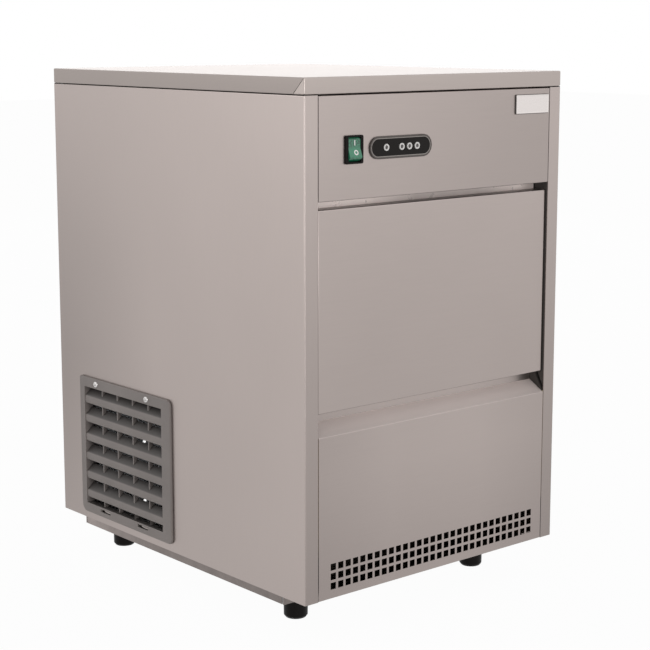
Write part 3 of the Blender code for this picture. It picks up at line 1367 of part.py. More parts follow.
def make_fan(cabinet, fan_axis):
    """Shroud with its ring, bladed rotor on the motor's shaft, the motor, and the bracket that it stands on."""
    ring_inner = FAN_RADIUS + FAN_TIP_GAP
    ring_outer = ring_inner + 0.002
    centre = (0, FAN_Y, FAN_Z)
    shroud = box(
        "fan_shroud",
        (SHROUD_X, CONDENSER_FRONT, BASE_TOP + FOOT_STUD_REACH + GAP),
        (SHROUD_X + 0.0015, CONDENSER_REAR, CONDENSER_HEIGHT + 0.002),
    )
    ring = rod("ring", "X", (SHROUD_X, FAN_Y, FAN_Z), (SHROUD_X + SHROUD_DEPTH, FAN_Y, FAN_Z), ring_outer, 28)
    hole = rod("hole", "X", (SHROUD_X - 0.01, FAN_Y, FAN_Z), (SHROUD_X + 0.05, FAN_Y, FAN_Z), ring_inner, 28)
    unite(shroud, ring)
    cut(shroud, hole)
    finish(shroud, BLACK_PLASTIC, cabinet)

    hub_start = SHROUD_X + 0.005
    hub_end = hub_start + 0.020
    rotor = lathe(
        "fan_blade",
        [(0, hub_start), (0.014, hub_start), (0.016, hub_start + 0.002), (0.016, hub_end), (0, hub_end)],
        "X", centre, 20,
    )
    blades = []
    for index in range(FAN_BLADES):
        blades.append(fan_blade(index * 2 * math.pi / FAN_BLADES, (hub_start + hub_end) / 2))
    unite(rotor, join("blades", blades))
    shaft_radius = 0.003
    socket = hub_start + 0.004
    cut(rotor, rod("bore", "X", (socket, FAN_Y, FAN_Z), (hub_end + 0.01, FAN_Y, FAN_Z), shaft_radius + GAP, 12))
    finish(rotor, ALUMINIUM, fan_axis)
    shaft_end = FAN_MOTOR_X + 0.030
    shaft = rod("fan_shaft", "X", (socket + GAP, FAN_Y, FAN_Z), (shaft_end, FAN_Y, FAN_Z), shaft_radius, 12)
    finish(shaft, BRIGHT_STEEL, fan_axis)

    end = FAN_MOTOR_X + FAN_MOTOR_LENGTH
    radius = FAN_MOTOR_RADIUS
    motor = lathe(
        "fan_motor",
        [
            (0, FAN_MOTOR_X), (0.010, FAN_MOTOR_X), (0.012, FAN_MOTOR_X + 0.004), (radius - 0.006, FAN_MOTOR_X + 0.006),
            (radius, FAN_MOTOR_X + 0.012), (radius, end - 0.010), (radius - 0.005, end - 0.002),
            (radius - 0.008, end), (0, end),
        ],
        "X", centre, 20,
    )
    bore_start = (FAN_MOTOR_X - 0.01, FAN_Y, FAN_Z)
    cut(motor, rod("bore", "X", bore_start, (shaft_end + GAP, FAN_Y, FAN_Z), shaft_radius + GAP, 12))
    finish(motor, BLACK_PAINT, cabinet)

    half = SHEET
    stand = end + GAP + half
    path = [(stand + 0.030, BASE_TOP + GAP + half), (stand, BASE_TOP + GAP + half), (stand, FAN_Z + 0.022)]
    path = rounded(path, 0.003, 3, closed=False)
    bracket = prism("fan_motor_bracket", strip(path, 2 * half), "Y", FAN_Y - 0.024, FAN_Y + 0.024)
    finish(bracket, GALVANISED, cabinet)


def fan_blade(turn, middle):
    """One twisted blade: sections along the radius, steeper at the root, skinned from root to tip."""
    sections = []
    stations = 5
    for step in range(stations):
        share = step / (stations - 1)
        radius = 0.013 + (FAN_RADIUS - 0.013) * share
        spread = math.radians(24 + 4 * share)
        rise = 0.0085 - 0.002 * share
        thickness = 0.0014 - 0.0004 * share
        section = []
        for side, chord in ((-1, -1), (-1, 0), (-1, 1), (1, 1), (1, 0), (1, -1)):
            angle = turn + chord * spread + math.radians(10) * share
            x = middle + chord * rise + side * thickness / 2 + (0.0012 if chord == 0 else 0.0)
            section.append((x, FAN_Y + radius * math.cos(angle), FAN_Z + radius * math.sin(angle)))
        sections.append(section)
    return loft("blade", sections)


def make_compressor(cabinet):
    """Sealed compressor: a welded domed shell on a foot plate, with its four rubber mounts fused to it."""
    x, y, radius = COMPRESSOR_X, COMPRESSOR_Y, COMPRESSOR_RADIUS
    low = BASE_TOP + GAP + MOUNT_HEIGHT
    seam = low + COMPRESSOR_HEIGHT * 0.52
    top = low + COMPRESSOR_HEIGHT
    profile = [
        (0, low + 0.001), (radius * 0.62, low + 0.002), (radius * 0.9, low + 0.016), (radius - 0.002, low + 0.034),
        (radius - 0.002, seam - 0.003), (radius, seam - 0.003), (radius, seam + 0.003), (radius - 0.003, seam + 0.004),
        (radius - 0.003, top - 0.040), (radius * 0.88, top - 0.018), (radius * 0.5, top - 0.003), (0, top),
    ]
    shell = lathe("compressor", profile, "Z", (x, y, 0), 20)
    plate = box("plate", (x - 0.062, y - 0.048, low), (x + 0.062, y + 0.048, low + 0.003), 0.0)
    unite(shell, plate)
    for side_x in (-1, 1):
        for side_y in (-1, 1):
            profile = [
                (0, BASE_TOP + GAP), (0.011, BASE_TOP + GAP), (0.011, BASE_TOP + GAP + 0.003),
                (0.008, low * 0.5), (0.011, low - 0.004), (0.011, low + SHEET), (0, low + SHEET),
            ]
            unite(shell, lathe("mount", profile, "Z", (x + side_x * 0.050, y + side_y * 0.036, 0), 10))
    finish(shell, BLACK_PAINT, cabinet)


def make_tubes(cabinet):
    """Refrigerant and water tubes, the filter drier and the hot gas valve."""
    level = EVAPORATOR_TUBE_Z
    shell_left = COMPRESSOR_X - COMPRESSOR_RADIUS + 0.002 - GAP * 2
    header_x = CONDENSER_X + CONDENSER_DEPTH / 2
    behind = CONDENSER_REAR + GAP
    valve_x = DISCHARGE_X
    path = [
        (shell_left, COMPRESSOR_Y, DISCHARGE_LOW_Z), (valve_x, COMPRESSOR_Y, DISCHARGE_LOW_Z),
        (valve_x, COMPRESSOR_Y, DISCHARGE_RUN_Z), (valve_x, REAR_RUN, DISCHARGE_RUN_Z),
        (header_x, REAR_RUN, DISCHARGE_RUN_Z), (header_x, REAR_RUN, HEADER_TOP_Z), (header_x, behind, HEADER_TOP_Z),
    ]
    finish(tube("discharge_tube", path, TUBE_RADIUS, TUBE_BEND), COPPER, cabinet)
    chamber = LINER_REAR_Y - LINER_WALL - 0.0045 + GAP
    path = [
        (SUCTION_X, chamber, level), (SUCTION_X, RISER_Y, level), (SUCTION_X, RISER_Y, SUCTION_LOW_Z),
        (SUCTION_X, RISER_Y - 0.021, SUCTION_LOW_Z), (COMPRESSOR_X, RISER_Y - 0.021, SUCTION_LOW_Z),
        (COMPRESSOR_X, COMPRESSOR_Y + COMPRESSOR_RADIUS - 0.002 + GAP * 2, SUCTION_LOW_Z),
    ]
    finish(tube("suction_tube", path, TUBE_RADIUS, TUBE_BEND), COPPER, cabinet)
    drier_low = DRIER_LOW_Z
    drier_top = DRIER_LOW_Z + DRIER_LENGTH
    liquid_run = REAR_RUN - 0.006
    path = [
        (header_x, behind, HEADER_LOW_Z), (header_x, liquid_run, HEADER_LOW_Z), (DRIER_X, liquid_run, HEADER_LOW_Z),
        (DRIER_X, DRIER_Y, HEADER_LOW_Z), (DRIER_X, DRIER_Y, drier_low - GAP),
    ]
    finish(tube("liquid_tube", path, CAPILLARY_RADIUS, CAPILLARY_BEND), COPPER, cabinet)
    profile = [
        (0, drier_low), (0.0035, drier_low), (0.0045, drier_low + 0.006), (0.0095, drier_low + 0.014),
        (0.0095, drier_top - 0.016), (0.0045, drier_top - 0.006), (0.003, drier_top), (0, drier_top),
    ]
    finish(lathe("filter_drier", profile, "Z", (DRIER_X, DRIER_Y, 0), 16), COPPER, cabinet)
    path = [
        (DRIER_X, DRIER_Y, drier_top + GAP), (DRIER_X, DRIER_Y, CAPILLARY_RUN_Z), (LIQUID_X, DRIER_Y, CAPILLARY_RUN_Z),
        (LIQUID_X, RISER_Y, CAPILLARY_RUN_Z), (LIQUID_X, RISER_Y, level), (LIQUID_X, chamber, level),
    ]
    finish(tube("capillary_tube", path, CAPILLARY_RADIUS, CAPILLARY_BEND), COPPER, cabinet)

    low = DISCHARGE_RUN_Z + TUBE_RADIUS + GAP
    top = CAPILLARY_RUN_Z - CAPILLARY_RADIUS - GAP
    place = (valve_x, DRIER_Y - 0.004, 0)
    body = lathe("hot_gas_valve", [(0, low), (0.007, low), (0.007, top - 0.008), (0.004, top), (0, top)], "Z", place, 14)
    coil = box(
        "coil",
        (place[0] - 0.004, place[1] - 0.038, low + 0.004),
        (place[0] + 0.024, place[1] - 0.002, low + 0.030),
        0.002,
    )
    finish(unite(body, coil), BRASS, cabinet)


def make_rear_fittings(cabinet):
    """Water inlet valve with its threaded nose, the fill tube, the bin's drain and its spigot, the cord gland."""
    rear = DEPTH + REAR_REACH
    panel = REAR_PANEL_Y
    x, z = VALVE_X, VALVE_Z
    nose = lathe(
        "inlet_valve",
        [
            (0, panel - INLET_ROOT), (INLET_RADIUS, panel - INLET_ROOT), (INLET_RADIUS, rear - 0.001),
            (INLET_RADIUS - 0.0008, rear), (0.009, rear),
            (0.009, rear - 0.012), (0, rear - 0.012),
        ],
        "Y", (x, 0, z), 20,
    )
    body = box("body", (x - 0.014, panel - 0.034, z - 0.014), (x + 0.014, panel - 0.0007, z + 0.014), 0.001)
    coil = box("coil", (x - 0.012, panel - 0.032, z - 0.036), (x + 0.012, panel - 0.008, z - 0.012), 0.001)
    nipple = rod("nipple", "Z", (x, RISER_Y, z + 0.010), (x, RISER_Y, z + 0.020), 0.0045, 12)
    unite(nose, body, coil, nipple)
    finish(nose, BLACK_PLASTIC, cabinet)
    path = [(x, RISER_Y, z + 0.020 + GAP), (x, RISER_Y, FILL_Z), (x, LINER_REAR_Y - 0.016, FILL_Z)]
    finish(tube("fill_tube", path, TUBE_RADIUS, 0.0095), CLEAR_GREY, cabinet)

    end = panel - 0.004
    path = [
        (DRAIN_X, DRAIN_Y, BIN_FLOOR + 0.001), (DRAIN_X, DRAIN_Y, DRAIN_Z + 0.006), (DRAIN_X, end, DRAIN_Z),
    ]
    finish(tube("drain_tube", path, DRAIN_RADIUS, 0.020), CLEAR_GREY, cabinet)
    outer = DRAIN_RADIUS + 0.002
    spigot = lathe(
        "drain_spigot",
        [
            (0, end + GAP), (outer + 0.004, end + GAP), (outer + 0.004, panel - GAP), (outer, panel - GAP),
            (outer, rear - 0.006), (outer + 0.001, rear - 0.005), (outer - 0.0015, rear - GAP),
            (DRAIN_RADIUS - 0.002, rear - GAP), (DRAIN_RADIUS - 0.002, panel + 0.001), (0, panel + 0.001),
        ],
        "Y", (DRAIN_X, 0, DRAIN_Z), 20,
    )
    finish(spigot, BLACK_PLASTIC, cabinet)
    outside = panel + SHEET + GAP
    gland = lathe(
        "cord_gland",
        [
            (0, panel - 0.008), (0.006, panel - 0.008), (0.008, panel - 0.006), (0.008, outside),
            (0.012, outside), (0.012, outside + 0.005), (0.009, outside + 0.009), (0.0055, outside + 0.010),
            (0.0045, outside + 0.010), (0.0045, panel - 0.004), (0, panel - 0.004),
        ],
        "Y", (GLAND_X, 0, GLAND_Z), 16,
    )
    finish(gland, BLACK_PLASTIC, cabinet)


def make_grille(cabinet):
    """Moulded grille: a bordered frame with a sleeve through the side panel, ribs and hooked slats."""
    front, rear, low, top = GRILLE_FRONT, GRILLE_REAR, GRILLE_BOTTOM, GRILLE_TOP
    frame = prism(
        "air_grille",
        rounded(rectangle(front, low, rear, top), GRILLE_CORNERS, 4),
        "X", -GRILLE_PROUD, -GAP,
    )
    soften_face(frame, 0, GAP - GRILLE_PROUD, 0.0015)
    fit = GRILLE_FLANGE + GAP
    sleeve = prism(
        "sleeve",
        rectangle(front + GRILLE_FLANGE_FRONT + GAP, low + fit, rear - fit, top - fit),
        "X", -GRILLE_PROUD / 2, GRILLE_DEPTH,
    )
    unite(frame, sleeve)
    window_front, window_rear = front + GRILLE_BORDER_FRONT, rear - GRILLE_BORDER_REAR
    window_low, window_top = low + GRILLE_BORDER, top - GRILLE_BORDER
    window = rectangle(window_front, window_low, window_rear, window_top)
    cut(frame, prism("window", window, "X", -0.02, 0.02))

    # A slat is an upright face with a rounded lower lip, bent inwards and up into a rain ledge.
    half = SLAT_FACE / 2
    profile = [
        (-0.0004, -half), (-0.0020, 0.0012 - half), (-0.0027, 0.0036 - half), (-0.0027, half - 0.0030),
        (-0.0019, half - 0.0008), (0.0004, half + 0.0010), (0.0066, half + SLAT_RISE),
        (0.0076, half + SLAT_RISE - 0.0010), (0.0072, half + SLAT_RISE - 0.0024), (0.0016, half - 0.0014),
        (0.0002, half - 0.0036), (0.0000, 0.0006 - half),
    ]
    middle = (window_low + window_top) / 2 - SLAT_DROP
    slats = []
    for index in range(SLATS):
        z = middle + (index - (SLATS - 1) / 2) * SLAT_PITCH
        outline = [(x, z + height) for x, height in profile]
        slats.append(prism("slat", outline, "Y", window_front - SHEET, window_rear + SHEET))
    unite(frame, join("slats", slats))
    ribs = []
    for index in range(RIBS):
        y = window_front + (window_rear - window_front) * (index + 1) / (RIBS + 1)
        low_corner = (0.0010, y - RIB / 2, window_low - SHEET)
        ribs.append((low_corner, (GRILLE_DEPTH - SHEET, y + RIB / 2, window_top + SHEET)))
    unite(frame, boxes("ribs", ribs))
    slots = []
    for y in (CLIP_REAR_Y, CLIP_FRONT_Y):
        z = low + CLIP_RISE
        low_corner = (-0.01, y - CLIP_LENGTH / 2, z - CLIP_HEIGHT / 2)
        slots.append((low_corner, (-GAP - 0.0001, y + CLIP_LENGTH / 2, z + CLIP_HEIGHT / 2)))
    cut(frame, boxes("clips", slots))
    finish(frame, GRILLE_GREY, cabinet)


def main():
    clear_scene()
    cabinet = make_frame("cabinet", (0, 0, 0))
    door_slide = make_frame("door_slide_axis", (WIDTH / 2, PIN_Y, PIN_Z), cabinet)
    door_tilt = make_frame("door_tilt_axis", (WIDTH / 2, PIN_Y, PIN_Z), door_slide)
    rocker_axis = make_frame("rocker_axis", (SWITCH_X, ROCKER_PIVOT, SWITCH_Z), cabinet)
    fan_axis = make_frame("fan_axis", (SHROUD_X, FAN_Y, FAN_Z), cabinet)
    tray_axis = make_frame("tray_axis", (WIDTH / 2, TRAY_PIVOT_Y, TRAY_PIVOT_Z), cabinet)
    flap_axis = make_frame("flap_axis", (LINER_LEFT + LINER_WALL, FLAP_Y, FLAP_Z), cabinet)
    make_side_panels(cabinet)
    make_top_cover(cabinet)
    make_rear_panel(cabinet)
    make_control_panel(cabinet)
    make_lower_panel(cabinet)
    make_indicator_panel(cabinet)
    make_switch(cabinet, rocker_axis)
    make_base(cabinet)
    for corner, place in foot_places().items():
        make_foot(f"foot_{corner}", place, make_frame(f"foot_{corner}_axis", (*place, 0.0), cabinet))
    make_grille(cabinet)
    make_linings(cabinet)
    make_door(cabinet, door_slide, door_tilt)
    make_liner(cabinet)
    make_insulation(cabinet)
    make_roof(cabinet)
    make_control_gear(cabinet)
    make_evaporator(cabinet)
    make_water_tray(tray_axis, cabinet)
    make_chute(cabinet)
    make_water_system(cabinet)
    make_level_flap(cabinet, flap_axis)
    make_condenser(cabinet)
    make_fan(cabinet, fan_axis)
    make_compressor(cabinet)
    make_tubes(cabinet)
    make_rear_fittings(cabinet)


main()
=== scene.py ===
"""Looks of an under-counter ice machine: finishes of its nodes, small trim, stage, lamps and camera.

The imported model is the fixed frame, and every piece made here rides on one of its bodies.
Sizes are metres, Z is up and the front faces -Y.
"""

import json
import math

import bmesh
import bpy
import numpy as np
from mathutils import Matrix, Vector
from mathutils.bvhtree import BVHTree


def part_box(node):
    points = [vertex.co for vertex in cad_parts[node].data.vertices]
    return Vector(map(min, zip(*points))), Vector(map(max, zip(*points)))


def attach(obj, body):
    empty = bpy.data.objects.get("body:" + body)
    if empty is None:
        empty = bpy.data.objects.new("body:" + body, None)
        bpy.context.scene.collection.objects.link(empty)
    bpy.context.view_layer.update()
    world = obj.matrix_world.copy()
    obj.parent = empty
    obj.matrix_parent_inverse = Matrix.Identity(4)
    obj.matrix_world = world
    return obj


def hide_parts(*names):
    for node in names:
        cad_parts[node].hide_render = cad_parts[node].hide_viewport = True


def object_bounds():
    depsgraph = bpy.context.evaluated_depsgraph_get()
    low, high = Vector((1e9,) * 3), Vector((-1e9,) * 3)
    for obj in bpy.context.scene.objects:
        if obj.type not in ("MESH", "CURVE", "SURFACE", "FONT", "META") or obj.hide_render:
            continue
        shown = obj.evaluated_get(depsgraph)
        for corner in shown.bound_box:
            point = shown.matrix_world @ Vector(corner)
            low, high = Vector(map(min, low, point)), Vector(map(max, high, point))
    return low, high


bl_info = {
    "name": "Ice machine looks",
    "version": (1, 0, 0),
    "blender": (4, 5, 0),
    "location": "3D View > Sidebar > Ice machine",
    "description": "Dresses the frame of an under-counter ice machine and sets its stage",
    "category": "Object",
}

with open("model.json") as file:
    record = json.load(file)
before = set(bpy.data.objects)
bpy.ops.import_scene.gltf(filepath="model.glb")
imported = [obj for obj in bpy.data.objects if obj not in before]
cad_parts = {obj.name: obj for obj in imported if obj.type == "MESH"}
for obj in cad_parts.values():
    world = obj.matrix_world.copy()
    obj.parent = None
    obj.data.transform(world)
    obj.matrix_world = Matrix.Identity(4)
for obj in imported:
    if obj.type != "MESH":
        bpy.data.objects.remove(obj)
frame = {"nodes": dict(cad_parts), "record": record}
CAD_LOW, CAD_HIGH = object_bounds()

RIGHT, UP, REAR = (1, 0, 0), (0, 0, 1), (0, 1, 0)
SHARP_ANGLE = math.radians(32)
LIFT = 0.00005  # thickness of a mark, and how far a trim piece is sunk into what carries it
LINES_ACROSS, LINES_ALONG = 260.0, 4.0  # how finely the brushed lines repeat across and along the grain

# Places on the photographed faces, in metres from the edges that the code names
LAMP_OFFSETS = (0.0, 0.0232, 0.0348, 0.0465)
GRILLE_SCREWS = (0.0388, 0.1510)
CONDENSER_SCREWS = ((-0.1815, 0.1665), (-0.1822, 0.0903))

# Name, place, width in metres and power in watts of the studio's lamps
LAMPS = (
    ("side_lamp", (-3.3, 1.9, 1.6), 1.8, 14.0),
    ("front_lamp", (1.5, -3.2, 1.6), 1.8, 5.0),
    ("low_lamp", (-0.9, -3.2, 0.45), 1.2, 20.0),
    ("back_lamp", (2.4, 2.9, 1.1), 1.8, 10.0),
)
FLOOR_REACH = 12.0
FLOOR_LEVEL = -0.0004
FLOOR_WHITE_SHARE = 0.97


# Meshes from arrays
def lattice_faces(rows, columns, wrap):
    """Quads of a lattice: each joins the points (i, j), (i, j+1), (i+1, j+1) and (i+1, j)."""
    i, j = np.meshgrid(np.arange(rows - 1), np.arange(columns if wrap else columns - 1), indexing="ij")
    right = (j + 1) % columns
    return np.stack(
        [i * columns + j, i * columns + right, (i + 1) * columns + right, (i + 1) * columns + j], axis=-1
    ).reshape(-1, 4)


def mesh_from(name, parts, smooth=True):
    """Joins (points, faces) parts into one object, with its normals turned outwards."""
    points, faces, start = [], [], 0
    for part_points, part_faces in parts:
        points.append(np.asarray(part_points, float).reshape(-1, 3))
        faces.extend((np.asarray(part_faces) + start).tolist())
        start += len(points[-1])
    mesh = bpy.data.meshes.new(name)
    mesh.from_pydata(np.concatenate(points).tolist(), [], faces)
    work = bmesh.new()
    work.from_mesh(mesh)
    bmesh.ops.remove_doubles(work, verts=work.verts, dist=1e-7)
    bmesh.ops.recalc_face_normals(work, faces=work.faces)
    work.to_mesh(mesh)
    work.free()
    if smooth:
        mesh.polygons.foreach_set("use_smooth", np.ones(len(mesh.polygons), bool))
        mesh.set_sharp_from_angle(angle=SHARP_ANGLE)
    item = bpy.data.objects.new(name, mesh)
    bpy.context.scene.collection.objects.link(item)
    return item


def turned(profile, steps):
    """Surface of turn: a profile point (r, h) goes to (r cos a, r sin a, h), a round the full turn."""
    radius, height = np.asarray(profile, float).T[:, :, None]
    angle = np.linspace(0, 2 * math.pi, steps, endpoint=False)
    x = radius * np.cos(angle)
    points = np.stack([x, radius * np.sin(angle), np.broadcast_to(height, x.shape)], axis=-1)
    return points.reshape(-1, 3), lattice_faces(len(profile), steps, True)


def round_corner_loop(width, height, radius, steps):
    """Loop of a rounded rectangle: each corner centre plus radius times (cos a, sin a) of its quarter."""
    quarter = np.linspace(0, math.pi / 2, steps)
    angle = (quarter[None, :] + np.arange(4)[:, None] * math.pi / 2).ravel()
    across = np.repeat(np.array([1, -1, -1, 1]), steps) * (width / 2 - radius)
    upward = np.repeat(np.array([1, 1, -1, -1]), steps) * (height / 2 - radius)
    return np.stack([across + radius * np.cos(angle), upward + radius * np.sin(angle)], axis=-1)


def plate(width, height, radius, profile, steps=8):
    """Plate from loops: profile (inset, level) shrinks the rounded rectangle and lifts it, ends closed."""
    loops = []
    for inset, level in profile:
        loop = round_corner_loop(width - 2 * inset, height - 2 * inset, max(radius - inset, 1e-5), steps)
        loops.append(np.column_stack([loop, np.full(len(loop), level)]))
    count = len(loops[0])
    first = np.concatenate([np.zeros((count, 2)), loops[0][:, 2:]], axis=1)
    last = np.concatenate([np.zeros((count, 2)), loops[-1][:, 2:]], axis=1)
    points = np.concatenate([first[None], np.array(loops), last[None]])
    return points.reshape(-1, 3), lattice_faces(len(loops) + 2, count, True)


def placed(part, right, up, origin):
    """Carries a part's (x, y, z) to origin + x right + y up + z (right cross up)."""
    points, faces = part
    right, up = np.asarray(right, float), np.asarray(up, float)
    basis = np.stack([right, up, np.cross(right, up)])
    return points @ basis + np.asarray(origin, float), faces


def screw_head(radius, height, recess, rings=12, steps=48):
    """Pan head: h = height sqrt(1 - (r/R)^4), less a cross recess where one of two smooth bars is met."""
    r = np.linspace(0, radius, rings)[:, None]
    angle = np.linspace(0, 2 * math.pi, steps, endpoint=False)[None, :]
    x, y = r * np.cos(angle), r * np.sin(angle)
    dome = height * np.sqrt(np.clip(1 - (r / radius) ** 4, 0, 1))
    bar, reach = radius * 0.16, radius * 0.62
    across = np.clip((bar - np.abs([x, y])) / (bar * 0.4) + 0.6, 0, 1)
    along = np.clip((reach - np.abs([y, x])) / (reach * 0.3), 0, 1)
    cross = (across * along).max(axis=0)
    top = np.stack([x, y, dome - recess * cross], axis=-1)
    base = np.stack([x[-1:], y[-1:], np.full_like(x[-1:], -LIFT)], axis=-1)
    hub = np.zeros_like(base)
    hub[..., 2] = -LIFT
    points = np.concatenate([top, base, hub])
    return points.reshape(-1, 3), lattice_faces(len(points), steps, True)


def sheet_strip(path, width, thickness, across):
    """Flat strip: each path point goes half the width both ways along 'across' and half the thickness both
    ways along the normal, which is the path's run times 'across'."""
    path = np.asarray(path, float)
    across = np.asarray(across, float)
    run = np.gradient(path, axis=0)
    run /= np.linalg.norm(run, axis=1)[:, None]
    normal = np.cross(run, across)
    corners = [(-0.5, -0.5), (0.5, -0.5), (0.5, 0.5), (-0.5, 0.5)]
    loops = np.stack([path + across * width * a + normal * thickness * b for a, b in corners], axis=1)
    ends = np.stack([np.repeat(path[:1], 4, 0), np.repeat(path[-1:], 4, 0)])
    points = np.concatenate([ends[:1], loops, ends[1:]])
    return points.reshape(-1, 3), lattice_faces(len(points), 4, True)


def smoothed(node):
    """Puts a copy in a CAD node's place, its loose triangles merged and its round faces shaded smooth."""
    body = next(name for name, members in frame["record"]["behaviour"]["bodies"].items() if node in members)
    mesh = frame["nodes"][node].data.copy()
    work = bmesh.new()
    work.from_mesh(mesh)
    bmesh.ops.remove_doubles(work, verts=work.verts, dist=1e-6)
    bmesh.ops.dissolve_limit(work, angle_limit=math.radians(0.5), verts=work.verts, edges=work.edges)
    work.to_mesh(mesh)
    work.free()
    mesh.polygons.foreach_set("use_smooth", np.ones(len(mesh.polygons), bool))
    mesh.set_sharp_from_angle(angle=SHARP_ANGLE)
    item = bpy.data.objects.new(node + "_smooth", mesh)
    bpy.context.scene.collection.objects.link(item)
    level_shading(item)
    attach(item, body)
    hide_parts(node)


def level_shading(item):
    """Keeps wide flat faces flat beside a small rounded edge: a corner's normal leans to the larger face."""
    weighted = item.modifiers.new("level_shading", "WEIGHTED_NORMAL")
    weighted.keep_sharp = True
    weighted.weight = 50


def fit(item, body, material):
    """Gives a new piece its finish and sets it on its body."""
    item.data.materials.clear()
    item.data.materials.append(material)
    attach(item, body)


# Materials
class Finish:
    """A Principled material and short calls that add a pattern to it."""

    def __init__(self, name, colour, roughness, metallic=0.0, **sockets):
        self.material = bpy.data.materials.new(name)
        self.material.use_nodes = True
        self.tree = self.material.node_tree
        self.shader = self.tree.nodes["Principled BSDF"]
        self.colour = colour
        self.roughness = roughness
        self.shader.inputs["Base Color"].default_value = (*colour, 1)
        self.shader.inputs["Roughness"].default_value = roughness
        self.shader.inputs["Metallic"].default_value = metallic
        for socket, value in sockets.items():
            self.shader.inputs[socket.replace("_", " ")].default_value = value
        self.coordinates = self.add("ShaderNodeTexCoord")
        self.place = self.coordinates.outputs["Object"]

    def add(self, kind, links=None, **settings):
        node = self.tree.nodes.new(kind)
        for key, value in settings.items():
            setattr(node, key, value)
        for socket, source in (links or {}).items():
            target = node.inputs[socket]
            if isinstance(source, bpy.types.NodeSocket):
                self.tree.links.new(source, target)
            else:
                target.default_value = source
        return node

    def link(self, source, socket):
        self.tree.links.new(source, self.shader.inputs[socket])

    def noise(self, scale, stretch=(1, 1, 1), detail=3.0, rough=0.55):
        """Noise over the object's own coordinates, stretched by a Mapping node."""
        mapping = self.add("ShaderNodeMapping", {"Vector": self.place, "Scale": stretch})
        return self.add(
            "ShaderNodeTexNoise",
            {"Vector": mapping.outputs["Vector"], "Scale": scale, "Detail": detail, "Roughness": rough},
        ).outputs["Fac"]

    def span(self, value, low, high, low_in=0.3, high_in=0.7):
        """Maps a pattern's usual range to low..high."""
        return self.add(
            "ShaderNodeMapRange",
            {"Value": value, "From Min": low_in, "From Max": high_in, "To Min": low, "To Max": high},
        ).outputs["Result"]

    def math(self, operation, *values):
        """Sum, product or other result of patterns and numbers."""
        return self.add("ShaderNodeMath", dict(enumerate(values)), operation=operation).outputs[0]

    def along(self, axis):
        """The object's own coordinate on an axis."""
        return self.add("ShaderNodeSeparateXYZ", {"Vector": self.place}).outputs[axis]

    def facing(self, axis):
        """How far the surface faces along an axis, -1..1."""
        return self.add("ShaderNodeSeparateXYZ", {"Vector": self.coordinates.outputs["Normal"]}).outputs[axis]

    def tint(self, value, low, high):
        """Base colour: the finish's colour times low..high, by a pattern."""
        factor = self.span(value, low, high)
        mixed = self.add("ShaderNodeVectorMath", {0: self.colour, 3: factor}, operation="SCALE")
        self.link(mixed.outputs["Vector"], "Base Color")

    def retint(self, factor):
        """Scales the base colour that is already linked by one more factor."""
        plain = self.shader.inputs["Base Color"].links[0].from_socket
        toned = self.add("ShaderNodeVectorMath", {0: plain, 3: factor}, operation="SCALE")
        self.link(toned.outputs["Vector"], "Base Color")

    def lose(self, share, amount):
        """Takes the product of two patterns off the base colour."""
        self.retint(self.math("SUBTRACT", 1.0, self.math("MULTIPLY", share, amount)))

    def fall(self, axis, start, end, tone):
        """Base colour: one at a place along an axis, and the tone at another, straight between them."""
        self.retint(self.span(self.along(axis), 1.0, tone, start, end))

    def rough(self, value, swing):
        """Roughness swings about its own value by a pattern."""
        self.link(self.span(value, self.roughness - swing, self.roughness + swing), "Roughness")

    def bump(self, value, height, strength=1.0):
        """Bump from a pattern, its height in metres."""
        node = self.add("ShaderNodeBump", {"Height": value, "Distance": height, "Strength": strength})
        self.link(node.outputs["Normal"], "Normal")


def brushed(name, colour, roughness, grain_axis, grain, fade=0.0):
    """Brushed sheet: fine lines along one axis, with faint long drifts of tone from the rolling.

    A painted shade darkens it evenly towards the floor, and painted light brightens it by as much towards the
    top."""
    finish = Finish(name, colour, roughness, 1.0)
    stretch = [LINES_ALONG if axis == grain_axis else LINES_ACROSS for axis in "XYZ"]
    lines = finish.noise(6.0, stretch, 4.0, 0.7)
    drift = finish.noise(3.2, detail=2.0)
    finish.tint(finish.math("MULTIPLY", finish.math("ADD", lines, drift), 0.5), 1 - grain, 1 + grain)
    # Painted shade towards the floor and painted light towards the top: the tone is scaled along Z.
    if fade:
        finish.retint(finish.span(finish.along("Z"), 1 - fade, 1 + fade, CAD_LOW.z, CAD_HIGH.z))
    finish.rough(lines, 0.05)
    finish.bump(lines, 0.000015, 0.6)
    return finish


def moulded(name, colour, roughness, grain, depth, **sockets):
    """Moulded plastic: fine pebbled skin, with a slow change of tone where the melt cooled."""
    finish = Finish(name, colour, roughness, 0.0, **sockets)
    pebble = finish.noise(900.0 * grain, detail=2.0)
    finish.tint(finish.noise(14.0), 0.92, 1.08)
    finish.rough(pebble, 0.06)
    finish.bump(pebble, depth, 0.7)
    return finish


def louvre_finish(name, colour, roughness):
    """Grille plastic: as the moulded skin, with painted shade deeper in from its face and on its ledges,
    which look up.

    The ribs across the openings keep most of their tone, and so does the frame's upper edge."""
    low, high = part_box("air_grille")
    rim, lit_depth, dark_depth = 0.011, 0.004, 0.013
    finish = moulded(name, colour, roughness, 0.7, 0.00005)
    # Painted shade on the ledges, which look up, and deeper in from the face. The ribs keep their tone.
    upward = finish.span(finish.facing("Z"), 0.0, 0.7, 0.3, 0.65)
    inside = finish.math("LESS_THAN", finish.along("Z"), high.z - rim)
    ledge_shade = finish.math("SUBTRACT", 1.0, finish.math("MULTIPLY", upward, inside))
    depth = finish.span(finish.along("X"), 1.0, 0.35, low.x + lit_depth, low.x + dark_depth)
    rib = finish.span(finish.math("ABSOLUTE", finish.facing("Y")), 0.0, 0.75, 0.6, 0.8)
    finish.retint(finish.math("MAXIMUM", finish.math("MULTIPLY", ledge_shade, depth), rib))
    return finish


